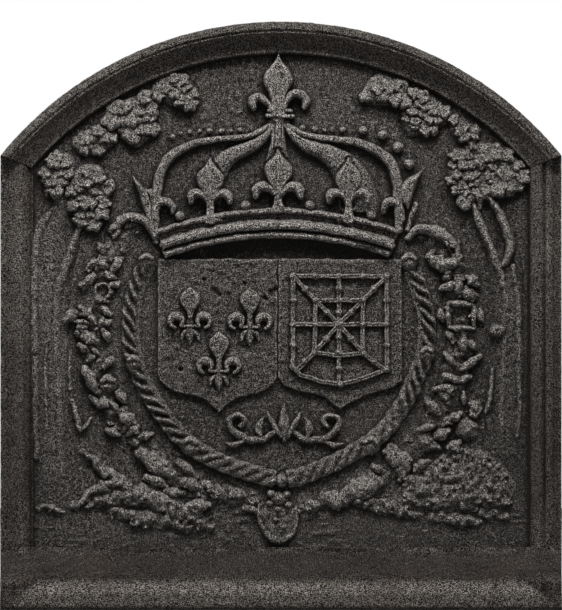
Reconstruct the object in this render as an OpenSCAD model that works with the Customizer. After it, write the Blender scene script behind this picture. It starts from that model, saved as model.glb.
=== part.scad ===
// Cast-iron fireback: an arched plate with a moulded frame and a relief of a
// closed crown over two shields, ringed by a cord and a collar, between two trees.
// The relief faces -Y, the flat back faces +Y and the plate stands on z = 0.
// Each ornament is drawn flat as [across, up, height] and then laid on its face.

/* [Plate] */
// Overall width of the plate
plate_w = 700; // [692:1:760]
// Overall height, from the hearth to the top of the arch
plate_h = 734; // [731:1:770]
// Radius of the arched top
arch_r = 450; // [440:1:520]
// Thickness of the plate behind the relief
plate_t = 20; // [12:0.5:32]

/* [Frame moulding] */
// How far the lip of the arch and the foot rim stand in front of the field
rim_proud = 22; // [18:0.5:30]
// Width of the arched moulding
arch_mould_w = 41; // [38:0.5:43]
// Width of the rounded lip along the outer edge of the arch
arch_lip_w = 10; // [7:0.5:13]
// Width of the small bead beside that lip
lip_bead_w = 4; // [3:0.25:5]
// Height of that small bead above the field
lip_bead_proud = 15; // [12:0.5:17]
// Width of the bead along the inner edge of the arched moulding
inner_bead_w = 5.6; // [4:0.2:7]
// Height of that inner bead above the field
inner_bead_proud = 6; // [4:0.25:8]
// Width of the side mouldings
side_mould_w = 40; // [36:0.5:42]
// Width of the flat strip along each outer edge
side_strip_w = 9; // [6:0.5:11]
// Width of the narrow ridge beside the strip
side_ridge_w = 9; // [7:0.5:11]
// Height of the side ridges above the field
side_proud = 11; // [8:0.5:15]
// Height of the base moulding, up to the lower edge of the field
base_h = 78; // [70:1:80]
// Height of the plain base band above the field
base_proud = 8; // [5:0.5:11]
// Height of the sloped edge above the base band
base_bevel = 5; // [3:0.5:8]
// Height of the upright face of the foot rim
foot_h = 17; // [12:0.5:22]
// Height of the slope from the foot rim up to the base band
foot_slope_h = 20; // [14:0.5:26]
// Width over which the foot rim returns up at each end
foot_return_w = 42; // [30:1:60]
// Width of the upright end of each return
foot_return_end = 10; // [6:1:16]
// How far a return dies away above the slope
foot_return_rise = 8; // [2:1:16]

/* [Arms as a whole] */
// Offset of the crown, shields and collars from the middle of the plate
arms_x = -4; // [-6:0.5:4]
// Clear space left between two ornaments that meet
seat_gap = 0.3; // [0.2:0.05:0.5]
// Clear space between the finial's tip and the arched moulding
crown_top_gap = 2; // [1:0.5:4]

/* [Crown] */
// Height of the fleur that tops the crown
finial_h = 71; // [66:0.5:73]
// Width across its two curls
finial_w = 72; // [66:1:78]
// Width of the collar under the fleur
finial_collar_w = 30; // [24:1:34]
// Height of that collar
finial_collar_h = 9; // [7:0.5:11]
// Height of the cage of arches, from the band to the collar
crown_rise = 110; // [106:0.5:114]
// Width of the upright middle arch
centre_arch_w = 27; // [22:0.5:30]
// Distance of the outer arches' feet from the crown's axis
outer_arch_reach = 151; // [149:0.5:153]
// Width of an outer arch at its foot
outer_arch_w = 12.5; // [10:0.5:14]
// Width of an inner arch behind its fleuron
inner_arch_w = 30; // [24:1:34]
// Height of the arches above the field
arch_relief = 8; // [6:0.5:11]
// Height of the finial and fleurons above the field
fleuron_relief = 11; // [8:0.5:15]
// Height of the middle fleuron above the band
fleuron_h = 73; // [66:1:76]
// Width across a fleuron's two leaves
fleuron_w = 54; // [46:1:58]
// How much lower the two side fleurons are than the middle one
side_fleuron_drop = 6; // [0:1:10]
// Distance of the side fleurons from the crown's axis
side_fleuron_x = 89; // [86:0.5:92]
// Distance of the end leaves' feet from the crown's axis
end_leaf_x = 165; // [163:0.5:168]
// Length of an end leaf
end_leaf_h = 46; // [38:1:52]
// Diameter of the largest pearl on the outer arches
arch_pearl_d = 11; // [8:0.5:12]
// Number of pearls on each outer arch
arch_pearl_count = 6; // [4:1:7]
// Diameter of the pearls on the band
band_pearl_d = 12; // [9:0.5:14]

/* [Crown band] */
// Width of the band across its two ends
band_w = 310; // [304:1:316]
// Radius of the band's upper edge, which bows upward
band_curve_r = 447; // [430:1:480]
// Height of the band
band_h = 36; // [32:0.5:40]
// Height of the middle rail above the field
band_proud = 12; // [9:0.5:16]
// Height of the sunk ground between the rails
band_ground = 5; // [3:0.5:7]

/* [Shields] */
// Space between the ends of the band and the top of the shields
shield_top_gap = 1.5; // [0.5:0.5:4]
// Width of each shield
shield_w = 150; // [146:0.5:153]
// Height of each shield, top edge to tip
shield_h = 191; // [186:1:196]
// Radius of a shield's lower corners
shield_corner_r = 22; // [16:1:28]
// Height of the drawn-in tip below the corners
shield_tip_h = 26; // [20:1:32]
// Height of the shields above the field
shield_proud = 4; // [3:0.25:6]

/* [Charges on the shields] */
// Height of a fleur on the left shield
fleur_h = 78; // [72:1:80]
// Width across a fleur's two curls
fleur_w = 54; // [48:1:58]
// Height of the fleurs above the shield
fleur_relief = 6; // [4:0.5:8]
// Space from the shield's top edge to the upper fleurs
fleur_top_margin = 33; // [30:1:38]
// Distance of the upper fleurs from the shield's middle
fleur_spread = 37; // [35:0.5:40]
// How far the lower fleur sits under the upper ones
fleur_step = 55; // [53:1:60]
// Width across the chain work on the right shield
chain_w = 119; // [112:1:124]
// Space from the shield's top edge to the middle of the upper chain
chain_top_margin = 20; // [16:0.5:26]
// Depth from the upper chain to the cross chain
chain_drop = 60; // [56:1:64]
// Space from the chain border to the shield's lower corners
chain_foot_margin = 12; // [10:0.5:18]
// Width of a chain bar
chain_bar_w = 6; // [4.5:0.25:7]
// Height of the chains above the shield
chain_relief = 4; // [3:0.25:5.5]
// Half width of the inner chain square
chain_square = 32; // [29:0.5:35]
// Diameter of the boss in the middle of the chains
chain_boss_d = 20; // [16:0.5:22]

/* [Inner collar] */
// Half width of the cord ring, to the middle of the cord
cord_rx = 190; // [186:0.5:193]
// Depth of the cord ring below its widest level
cord_rz = 182; // [178:0.5:184]
// Depth of the rings' widest level below the top of the shields
ring_drop = 93; // [90:1:96]
// Width of the cord
cord_w = 20; // [16:0.5:22]
// Height of the cord above the field
cord_relief = 8; // [6:0.5:10]
// Length of cord taken up by one twist, in degrees round the ring
cord_pitch = 5.4; // [4.5:0.1:7]
// Diameter of the shells along the cord
shell_d = 22; // [18:0.5:24]
// Height of the shells above the field
shell_relief = 10; // [8:0.5:12]

/* [Outer collar] */
// Space between the middles of the cord and the collar at the sides
collar_side_gap = 41; // [38:0.5:44]
// Space between the middles of the cord and the collar at the bottom
collar_foot_gap = 33; // [31:0.5:35]
// Width of the collar
collar_w = 34; // [28:0.5:35]
// Number of links on each side of the collar
collar_links = 13; // [10:1:14]
// Height of the collar links above the field
collar_relief = 7; // [5:0.5:9]
// Width of the pendant
pendant_w = 44; // [38:1:48]
// Height of the pendant
pendant_h = 46; // [40:1:49]
// Height of the pendant above the field
pendant_relief = 8; // [6:0.5:10]

/* [Leaf scroll] */
// Width across the scroll under the shields
scroll_w = 150; // [136:1:158]
// Height of its middle bud
bud_h = 46; // [38:1:50]
// Height of the scroll above the field
scroll_relief = 5; // [3.5:0.25:7]

/* [Trees and ground] */
// Space between a trunk and the side moulding
trunk_gap = 3; // [1:0.5:6]
// Width of the left trunk
left_trunk_w = 36; // [28:1:38]
// Width of the right trunk
right_trunk_w = 24; // [18:1:28]
// Height of the left trunk above the field
left_trunk_relief = 5; // [3:0.5:8]
// Height of the right trunk above the field
right_trunk_relief = 6; // [3:0.5:9]
// Space between the leaf clumps and the arched moulding
leaf_gap = 3; // [1:0.5:6]
// Height of the leaf clumps above the field
leaf_relief = 12; // [8:0.5:16]
// Length of a full leaf clump, which the smaller ones are shares of
leaf_span = 66; // [60:0.5:67]
// Height of the ground above the field
ground_relief = 7; // [5:0.5:10]
// Width of the bush at the foot of the right tree
bush_w = 126; // [110:1:130]
// Height of that bush
bush_h = 70; // [60:1:72]

/* [Hidden] */
$fn = 96;

// Depths along Y, with the whole casting centred on y = 0.
depth = plate_t + rim_proud;
back_y = depth / 2;
field_y = back_y - plate_t;
shield_y = field_y - shield_proud;

// The arch and the corners where it meets the straight sides.
arch_cz = plate_h - arch_r;
side_h = arch_cz + sqrt(pow(arch_r, 2) - pow(plate_w / 2, 2));
arch_inner_r = arch_r - arch_mould_w;
field_x = plate_w / 2 - side_mould_w;
mitre_z = arch_cz + sqrt(pow(arch_inner_r, 2) - pow(field_x, 2));

// Levels of the crown, hung from the arch.
finial_tip_z = plate_h - arch_mould_w - crown_top_gap;
finial_foot_z = finial_tip_z - finial_h;
hub_z = finial_foot_z - finial_collar_h;
band_top_z = hub_z - crown_rise;
band_cz = band_top_z - band_curve_r;
band_angle = asin(band_w / 2 / band_curve_r);
shield_top_z = band_cz + (band_curve_r - band_h) * cos(band_angle) - shield_top_gap;

// The two rings round the shields: both are rounded, slightly pointed ovals.
ring_z = shield_top_z - ring_drop;
ring_power = 1.8;
collar_rx = cord_rx + collar_side_gap;
collar_rz = cord_rz + collar_foot_gap;

// A tip is never drawn quite sharp, so that each solid stays sound.
tip = 0.5;
iron = [0.25, 0.24, 0.23];
rubbed_iron = [0.34, 0.33, 0.31];

// ---- Curves ---------------------------------------------------------------

// A point between b and c on the smooth curve through a, b, c and d.
function between(a, b, c, d, t) =
    0.5 * (2 * b + (c - a) * t + (2 * a - 5 * b + 4 * c - d) * t * t
           + (3 * b - a - 3 * c + d) * t * t * t);

// The smooth curve through the points p, with n steps from each to the next.
function smooth(p, n) = [
    for (i = [0 : len(p) - 2])
        for (j = [0 : n - 1])
            between(p[max(i - 1, 0)], p[i], p[i + 1], p[min(i + 2, len(p) - 1)], j / n),
    p[len(p) - 1]
];

// Half or quarter ovals: points from angle a to b about a centre.
function oval(c, rx, ry, a, b, n) =
    [for (i = [0 : n]) c + [rx * cos(a + (b - a) * i / n), ry * sin(a + (b - a) * i / n)]];

// A power that keeps the sign of its base.
function signed_power(v, e) = sign(v) * pow(abs(v), e);

// The point at angle a of an oval whose roundness is set by power e (2 is an ellipse).
function oval_point(rx, rz, a, e) =
    [rx * signed_power(cos(a), 2 / e), rz * signed_power(sin(a), 2 / e)];

// The unit vector square to the path p at its point i.
function side_of(p, i) =
    let (v = p[min(i + 1, len(p) - 1)] - p[max(i - 1, 0)], l = norm([v[0], v[1]]))
    [-v[1] / l, v[0] / l];

function mirrored(p) = [for (q = p) [-q[0], q[1], q[2], q[3]]];
function shifted(p, dx, dz) = [for (q = p) [q[0] + dx, q[1] + dz, q[2], q[3]]];

// ---- Ways to lay a shape on the casting -----------------------------------

// Lays a flat drawing on an upright face, with its heights towards -Y.
module on_face(y) translate([0, y, 0]) rotate([90, 0, 0]) children();

// Lays a drawing on the field, measured from the arms' axis.
module on_arms(dx = 0, dz = 0) on_face(field_y) translate([arms_x + dx, dz, 0]) children();

// A carved strip with a rounded top. Each station of its path holds
// [across, up, half width, height], and the strip's ends are flat.
STRIP = [for (a = [0 : 45 : 180]) [-cos(a), pow(sin(a), 0.8)]];
module strip(p) {
    k = len(STRIP);
    points = [
        for (i = [0 : len(p) - 1])
            let (s = side_of(p, i), q = p[i])
            for (c = STRIP) [q[0] - s[0] * q[2] * c[0], q[1] - s[1] * q[2] * c[0], q[3] * c[1]]
    ];
    skin_of_rings(points, len(p), k);
}

// Closes a run of open rings, each k points long, into a solid with flat ends.
module skin_of_rings(points, rings, k) {
    faces = [
        for (i = [0 : rings - 2])
            for (j = [0 : k - 1])
                let (a = i * k + j, b = i * k + (j + 1) % k)
                for (f = [[a, b + k, b], [a, a + k, b + k]]) f,
        [for (j = [0 : k - 1]) j],
        [for (j = [k - 1 : -1 : 0]) (rings - 1) * k + j]
    ];
    polyhedron(points, faces, convexity = 6);
}

// The flat outline of a strip, grown by a clear space all round.
module strip_outline(p, grow) {
    polygon(concat(
        [for (i = [0 : len(p) - 1]) [p[i][0], p[i][1]] + side_of(p, i) * (p[i][2] + grow)],
        [for (i = [len(p) - 1 : -1 : 0]) [p[i][0], p[i][1]] - side_of(p, i) * (p[i][2] + grow)]
    ));
}

// A rounded cushion over a closed edge, rising to the height h at its middle.
CUSHION = [[1, 0], [0.86, 0.52], [0.5, 0.88]];
module cushion(edge, h) {
    n = len(edge);
    top = len(CUSHION) * n;
    points = concat(
        [for (c = CUSHION) for (e = edge) [e[0] * c[0], e[1] * c[0], h * c[1]]],
        [[0, 0, h], [0, 0, 0]]
    );
    faces = [
        for (r = [0 : len(CUSHION) - 2])
            for (i = [0 : n - 1])
                let (a = r * n + i, b = r * n + (i + 1) % n)
                for (f = [[a, b + n, b], [a, a + n, b + n]]) f,
        for (i = [0 : n - 1]) [top - n + i, top, top - n + (i + 1) % n],
        for (i = [0 : n - 1]) [i, (i + 1) % n, top + 1]
    ];
    polyhedron(points, faces, convexity = 6);
}

// The edge of a clump of leaves: an oval that swells in lobes.
function lobed_edge(rx, rz, lobes, depth, n) = [
    for (i = [0 : n - 1])
        let (a = 360 * i / n, f = 1 - depth + depth * abs(sin(a * lobes / 2 + 20)))
        [rx * f * cos(a), rz * f * sin(a)]
];

// A half ball of diameter d, lying on its flat.
module pearl(d) rotate_extrude() intersection() { circle(d / 2); square(d / 2); }

// A half-round bar from a to b, flat on its underside.
module bar(a, b, w, h) {
    l = norm(b - a);
    turn = atan2(b[1] - a[1], b[0] - a[0]);
    translate([a[0], a[1], 0]) rotate([0, 0, turn]) rotate([90, 0, 90])
        linear_extrude(l) polygon(oval([0, 0], w / 2, h, 0, 180, 12));
}

// ---- Plate and mouldings --------------------------------------------------

module plate_outline() {
    intersection() {
        translate([0, arch_cz]) circle(arch_r, $fn = 256);
        translate([-plate_w / 2, 0]) square([plate_w, plate_h]);
    }
}

module back_plate() color(iron) on_face(back_y) linear_extrude(plate_t) plate_outline();

// The arch's section, from its inner foot out to the lip: bead, hollow, bead, lip.
function arch_profile() = let (
    inner_r = inner_bead_w / 2,
    lip_r = arch_lip_w / 2,
    bead_r = lip_bead_w / 2,
    groove = 1,
    hollow_start = arch_inner_r + inner_bead_w,
    hollow_end = arch_r - arch_lip_w - groove - lip_bead_w,
    lip_rise = 7
) concat(
    [[arch_inner_r, 0]],
    oval([arch_inner_r + inner_r, inner_bead_proud - inner_r], inner_r, inner_r, 180, 0, 6),
    oval([hollow_start, lip_bead_proud - bead_r], hollow_end - hollow_start,
         lip_bead_proud - inner_bead_proud + bead_r / 2, -85, 0, 8),
    oval([hollow_end + bead_r, lip_bead_proud - bead_r], bead_r, bead_r, 180, 0, 6),
    [[arch_r - arch_lip_w - groove, lip_bead_proud - 2 * bead_r]],
    oval([arch_r - lip_r, rim_proud - lip_rise], lip_r, lip_rise, 180, 0, 10),
    [[arch_r, 0]]
);

module arch_moulding() {
    color(rubbed_iron) on_face(field_y) intersection() {
        translate([0, arch_cz, 0]) rotate_extrude($fn = 256) polygon(arch_profile());
        linear_extrude(rim_proud) polygon([
            [-plate_w / 2, side_h], [-field_x, mitre_z], [field_x, mitre_z],
            [plate_w / 2, side_h], [plate_w / 2, plate_h], [-plate_w / 2, plate_h]
        ]);
    }
}

// The right side's section, drawn as [x, height]: strip, narrow ridge, broad ridge.
function side_profile() = let (
    edge = plate_w / 2,
    ridge_r = side_ridge_w / 2,
    groove = 1.5,
    ridge_x = edge - side_strip_w - groove - ridge_r,
    broad_out = ridge_x - ridge_r - groove,
    broad_r = (broad_out - field_x) / 2
) concat(
    [[edge, 0], [edge, side_proud - 3], [edge - 1, side_proud - 2]],
    [[edge - side_strip_w, side_proud - 2], [edge - side_strip_w, side_proud / 2]],
    oval([ridge_x, side_proud / 2], ridge_r, side_proud / 2, 0, 180, 8),
    oval([field_x + broad_r, 0], broad_r, side_proud - 1, 30, 180, 12)
);

module side_moulding(side) {
    color(iron) intersection() {
        translate([0, 0, base_h]) linear_extrude(side_h - base_h)
            polygon([for (q = side_profile()) [side * q[0], field_y - q[1]]]);
        on_face(field_y) linear_extrude(rim_proud) polygon([
            [side * plate_w / 2, base_h], [side * plate_w / 2, side_h],
            [side * field_x, mitre_z], [side * field_x, base_h]
        ]);
    }
}
module left_moulding() side_moulding(-1);
module right_moulding() side_moulding(1);

// Band and foot rim along the whole width, with the rim turned up at both ends.
module base_moulding() {
    slope_top = foot_h + foot_slope_h;
    color(iron) union() {
        translate([-plate_w / 2, 0, 0]) rotate([90, 0, 90]) linear_extrude(plate_w) polygon([
            [field_y, 0], [field_y - rim_proud + 4, 0], [field_y - rim_proud, 4],
            [field_y - rim_proud, foot_h], [field_y - base_proud, slope_top],
            [field_y - base_proud, base_h - base_bevel], [field_y, base_h]
        ]);
        for (side = [-1, 1]) intersection() {
            linear_extrude(base_h) polygon([
                [side * plate_w / 2, field_y],
                [side * plate_w / 2, field_y - rim_proud],
                [side * (plate_w / 2 - foot_return_end), field_y - rim_proud],
                [side * (plate_w / 2 - foot_return_end - foot_return_w), field_y - base_proud],
                [side * (plate_w / 2 - foot_return_end - foot_return_w), field_y]
            ]);
            translate([-plate_w / 2, 0, 0]) rotate([90, 0, 90]) linear_extrude(plate_w) polygon([
                [field_y, foot_h - 1], [field_y - rim_proud, foot_h - 1],
                [field_y - rim_proud, foot_h + 4],
                [field_y - base_proud, slope_top + foot_return_rise],
                [field_y, slope_top + foot_return_rise]
            ]);
        }
    }
}

// ---- Fleurs ---------------------------------------------------------------

// The middle petal: a narrow waist, a broad shoulder and a point.
function petal(len, half_w, waist, h) = smooth([
    [0, 0, waist, h * 0.7],
    [0, len * 0.18, waist * 0.9, h * 0.8],
    [0, len * 0.45, half_w * 0.85, h * 0.95],
    [0, len * 0.62, half_w, h],
    [0, len * 0.82, half_w * 0.55, h * 0.8],
    [0, len, tip, h * 0.25]
], 2);

// A side leaf that rises from the bar, bends outward and droops to a rounded end.
function curl(reach, rise, half_w, start, droop, h) = smooth([
    [start, 0, half_w * 0.6, h * 0.6],
    [start + (reach - start) * 0.12, rise * 0.5, half_w * 0.65, h * 0.75],
    [start + (reach - start) * 0.42, rise - half_w, half_w * 0.85, h * 0.9],
    [reach - half_w * 1.2, rise - half_w * 1.7, half_w, h],
    [reach - half_w * 1.1, -droop, half_w * 0.85, h * 0.8]
], 2);

// The pointed tail below the bar.
function tail(len, half_w, h) = smooth([
    [0, 0, half_w * 0.6, h * 0.7],
    [0, -len * 0.35, half_w, h * 0.85],
    [0, -len, tip, h * 0.25]
], 2);

// The crossbar that binds petal, leaves and tail.
module binding(half_w, up, h) translate([-half_w, -up, 0]) cube([2 * half_w, up, h]);

// A whole fleur: its tip stands petal_h above the underside of its bar.
module fleur(petal_h, petal_w, waist, w, rise, leaf_w, droop, bar_w, bar_h, h) {
    binding(bar_w / 2, bar_h, h);
    strip(petal(petal_h - bar_h, petal_w / 2, waist / 2, h));
    leaf = curl(w / 2, rise, leaf_w / 2, waist / 2 + leaf_w * 0.35, droop, h);
    strip(leaf);
    strip(mirrored(leaf));
}

// The three fleurs on the left shield share one pattern.
fleur_petal_w = 21;
fleur_waist = 6;
fleur_leaf_w = 9;
fleur_leaf_rise = 23;
fleur_bar_h = 4;
fleur_tail_h = 24;
module shield_fleur(dx, tip_z) {
    color(rubbed_iron) on_face(shield_y)
        translate([arms_x - shield_w / 2 + dx, tip_z - fleur_h + fleur_tail_h + fleur_bar_h, 0]) {
            fleur(fleur_h - fleur_tail_h, fleur_petal_w, fleur_waist, fleur_w,
                  fleur_leaf_rise, fleur_leaf_w, -4, fleur_waist + 2 * fleur_leaf_w,
                  fleur_bar_h, fleur_relief);
            translate([0, -fleur_bar_h, 0])
                strip(tail(fleur_tail_h, fleur_leaf_w, fleur_relief));
        }
}
fleur_tip_z = shield_top_z - fleur_top_margin;
module upper_left_fleur() shield_fleur(-fleur_spread, fleur_tip_z);
module upper_right_fleur() shield_fleur(fleur_spread, fleur_tip_z);
module lower_fleur() shield_fleur(0, fleur_tip_z - fleur_step);

// ---- Crown ----------------------------------------------------------------

// Everything that stands on the band is cut to the band's own curve.
module above_band() {
    difference() {
        children();
        translate([arms_x, band_cz, -1]) cylinder(r = band_curve_r + seat_gap, h = rim_proud + 2,
                                                  $fn = 256);
    }
}
function band_z(x) = band_cz + sqrt(pow(band_curve_r, 2) - pow(x, 2));

finial_bar_h = 6;
finial_petal_w = 37;
finial_waist = 12;
finial_leaf_w = 14;
finial_leaf_rise = 27;
module crown_finial() {
    color(rubbed_iron) on_arms(0, finial_foot_z + finial_bar_h)
        fleur(finial_h, finial_petal_w, finial_waist, finial_w, finial_leaf_rise,
              finial_leaf_w, -6, finial_collar_w - 4, finial_bar_h, fleuron_relief);
}

module crown_finial_collar() {
    color(rubbed_iron) on_arms(0, hub_z + finial_collar_h / 2)
        bar([-finial_collar_w / 2, 0], [finial_collar_w / 2, 0],
            finial_collar_h - 2 * seat_gap, fleuron_relief);
}

// The upright middle arch, with its foot just above the middle fleuron.
centre_arch_foot = band_top_z + fleuron_h + 2;
function centre_arch_path() = [
    [arms_x, centre_arch_foot, centre_arch_w / 2, arch_relief],
    [arms_x, centre_arch_foot + 14, centre_arch_w * 0.4, arch_relief],
    [arms_x, hub_z - seat_gap, centre_arch_w * 0.3, arch_relief]
];
module crown_centre_arch() color(iron) on_face(field_y) strip(centre_arch_path());

// An arch of the cage, drawn as shares of its reach from the axis and of the
// cage's rise: it flares out from the hub, runs level, then bends down to the band.
function cage_arch(side, reach, plan) = [
    for (q = plan) [arms_x + side * reach * q[0], band_top_z + crown_rise * q[1], q[2], arch_relief]
];
foot_in_band = 4;
function outer_arch_path(side) = let (w = outer_arch_w / 2) smooth(concat(
    cage_arch(side, outer_arch_reach, [
        [0.11, 0.90, w * 0.4], [0.27, 0.82, w * 0.4], [0.52, 0.79, w * 0.45],
        [0.73, 0.73, w * 0.65], [0.87, 0.61, w * 0.8], [0.96, 0.43, w * 0.95], [1, 0.2, w]
    ]),
    [[arms_x + side * outer_arch_reach, band_z(outer_arch_reach) - foot_in_band, w, arch_relief]]
), 2);
function inner_arch_path(side) = let (w = inner_arch_w / 2) smooth(
    cage_arch(side, side_fleuron_x, [
        [0.08, 0.97, w * 0.16], [0.2, 0.85, w * 0.28], [0.38, 0.76, w * 0.38],
        [0.6, 0.69, w * 0.52], [0.82, 0.58, w * 0.8], [0.97, 0.42, w * 0.95], [1, 0.28, w]
    ]), 2);

module keep_clear(path) translate([0, 0, -1])
    linear_extrude(rim_proud) strip_outline(path, seat_gap);

// The inner arches pass behind the side fleurons and end level with their leaves.
side_fleuron_h = fleuron_h - side_fleuron_drop;
function side_petal(side) = shifted(
    petal(side_fleuron_h - fleuron_foot_h, fleuron_petal_w / 2, fleuron_waist / 2, 1),
    arms_x + side * side_fleuron_x, band_z(side_fleuron_x) + fleuron_foot_h
);

module inner_arch(side) {
    leaf_top = band_z(side_fleuron_x) + fleuron_foot_h + fleuron_leaf_rise + seat_gap;
    behind_leaves = 60;
    color(iron) on_face(field_y) difference() {
        strip(inner_arch_path(side));
        keep_clear(centre_arch_path());
        keep_clear(side_petal(side));
        translate([arms_x + side * side_fleuron_x, leaf_top - behind_leaves / 2, 0])
            cube([2 * fleuron_w, behind_leaves, 3 * rim_proud], center = true);
    }
}
module crown_left_inner_arch() inner_arch(-1);
module crown_right_inner_arch() inner_arch(1);

module outer_arch(side) {
    color(iron) on_face(field_y) above_band() difference() {
        strip(outer_arch_path(side));
        keep_clear(inner_arch_path(side));
    }
}
module crown_left_outer_arch() outer_arch(-1);
module crown_right_outer_arch() outer_arch(1);

// Fleurons stand on the band on a flared foot.
fleuron_foot_h = 16;
fleuron_bar_h = 5;
fleuron_petal_w = 31;
fleuron_waist = 9;
fleuron_leaf_w = 13;
fleuron_leaf_rise = 12;
fleuron_leaf_droop = 4;
module fleuron(dx, h) {
    color(rubbed_iron) on_face(field_y) above_band()
        translate([arms_x + dx, band_z(dx) + fleuron_foot_h, 0]) {
            fleur(h - fleuron_foot_h + fleuron_bar_h, fleuron_petal_w, fleuron_waist, fleuron_w,
                  fleuron_leaf_rise, fleuron_leaf_w, fleuron_leaf_droop, fleuron_waist + 8,
                  fleuron_bar_h, fleuron_relief);
            translate([0, -fleuron_bar_h, 0]) strip([
                [0, 0, 7, fleuron_relief * 0.8], [0, -6, 9, fleuron_relief * 0.75],
                [0, -fleuron_foot_h, 12, fleuron_relief * 0.7]
            ]);
        }
}
module crown_centre_fleuron() fleuron(0, fleuron_h);
module crown_left_fleuron() fleuron(-side_fleuron_x, side_fleuron_h);
module crown_right_fleuron() fleuron(side_fleuron_x, side_fleuron_h);

// Half leaves that lean out at the two ends of the band.
function end_leaf_path(side) =
    let (foot = [arms_x + side * end_leaf_x, band_z(band_w / 2) - foot_in_band]) smooth([
        [foot[0] - side * 3, foot[1], 4, fleuron_relief * 0.6],
        [foot[0], foot[1] + end_leaf_h * 0.25, 4.5, fleuron_relief * 0.7],
        [foot[0] + side * 6, foot[1] + end_leaf_h * 0.6, 7.5, fleuron_relief * 0.8],
        [foot[0] + side * 16, foot[1] + end_leaf_h, tip, fleuron_relief * 0.3]
    ], 3);
module end_leaf(side)
    color(rubbed_iron) on_face(field_y) above_band() strip(end_leaf_path(side));
module crown_left_end_leaf() end_leaf(-1);
module crown_right_end_leaf() end_leaf(1);

// Pearls ride on the outside of each outer arch, larger towards its foot.
module crown_arch_pearls() {
    first = 3;
    path = outer_arch_path(1);
    color(rubbed_iron) for (side = [-1, 1]) for (i = [0 : arch_pearl_count - 1]) {
        at = first + round(i * (len(path) - first - 4) / (arch_pearl_count - 1));
        d = arch_pearl_d * (0.45 + 0.55 * i / (arch_pearl_count - 1));
        out = side_of(path, at) * (path[at][2] + d / 2 + seat_gap);
        on_face(field_y) translate([
            arms_x + side * (path[at][0] - arms_x + out[0]), path[at][1] + out[1], 0
        ]) pearl(d);
    }
}

// Pearls between the fleurons, resting on the band.
module crown_band_pearls() {
    color(rubbed_iron) for (side = [-1, 1], x = [side_fleuron_x * 0.46, side_fleuron_x + 30]) {
        angle = asin(x / (band_curve_r + band_pearl_d / 2));
        on_arms(0, band_cz) rotate([0, 0, -side * angle])
            translate([0, band_curve_r + seat_gap + band_pearl_d / 2, 0]) pearl(band_pearl_d);
    }
}

// The band's section across its height, drawn as [radius, height]: three rails.
function band_profile() = let (
    top_r = band_h * 0.11,
    mid_r = band_h * 0.21,
    low_r = band_h * 0.13,
    inner = band_curve_r - band_h,
    mid = band_curve_r - band_h * 0.46
) concat(
    [[inner, 0]],
    oval([inner + low_r, band_ground], low_r, band_proud * 0.8 - band_ground, 180, 0, 8),
    oval([mid, band_ground], mid_r, band_proud - band_ground, 180, 0, 10),
    oval([band_curve_r - top_r, band_ground], top_r, band_proud * 0.65 - band_ground, 180, 0, 8),
    [[band_curve_r, 0]]
);
module crown_band() {
    color(rubbed_iron) on_arms(0, band_cz) rotate([0, 0, 90 - band_angle])
        rotate_extrude(angle = 2 * band_angle, $fn = 256) polygon(band_profile());
}

// ---- Shields and charges --------------------------------------------------

shield_side_h = shield_h - shield_tip_h - shield_corner_r;
// Half of a shield's lower edge: round corner, then a hollow run to the tip.
function shield_foot() = let (run = shield_w / 2 - shield_corner_r) concat(
    oval([run, -shield_side_h], shield_corner_r, shield_corner_r, 0, -90, 8),
    [for (i = [7 : -1 : 0]) let (t = i / 8) [run * t, -shield_h + shield_tip_h * pow(t, 0.6)]]
);
module shield_outline() {
    foot = shield_foot();
    half = concat([[shield_w / 2, 0]], foot);
    polygon(concat(half, [for (i = [len(half) - 2 : -1 : 0]) [-half[i][0], half[i][1]]]));
}
module shield(dx) {
    color(iron) on_arms(dx, shield_top_z)
        linear_extrude(shield_proud) shield_outline();
}
module left_shield() shield(-shield_w / 2 - seat_gap / 2);
module right_shield() shield(shield_w / 2 + seat_gap / 2);

// Lays a drawing on the right shield, measured from the middle of the chains.
chain_z = shield_top_z - chain_top_margin - chain_drop;
module on_right_shield()
    on_face(shield_y) translate([arms_x + shield_w / 2 + seat_gap / 2, chain_z, 0]) children();

chain_half = chain_w / 2;
chain_foot_z = -(shield_h - shield_tip_h - chain_top_margin - chain_drop - chain_foot_margin);
chain_clear = chain_bar_w / 2 + seat_gap;
chain_knuckle_r = chain_bar_w * 0.8;
// Levels of the square's upper and lower bars, and of the border's lowest point.
square_top = chain_square * 0.8;
square_foot = -chain_square;
border_corner = 14;
border_sag = 7;
// The border: three straight bars and a lower one that follows the shield's foot.
module chain_border() {
    color(rubbed_iron) on_right_shield() {
        bar([-chain_half, chain_drop], [chain_half, chain_drop], chain_bar_w, chain_relief);
        for (side = [-1, 1]) {
            bar([side * chain_half, chain_drop], [side * chain_half, chain_foot_z + border_corner],
                chain_bar_w, chain_relief);
            bar([side * chain_half, chain_foot_z + border_corner],
                [side * (chain_half - border_corner), chain_foot_z], chain_bar_w, chain_relief);
            bar([side * (chain_half - border_corner), chain_foot_z],
                [0, chain_foot_z - border_sag], chain_bar_w, chain_relief);
        }
        for (x = [-chain_half, 0, chain_half]) translate([x, chain_drop, 0])
            pearl(2 * chain_knuckle_r);
        for (x = [-chain_half, chain_half]) translate([x, 0, 0]) pearl(2 * chain_knuckle_r);
    }
}

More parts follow.
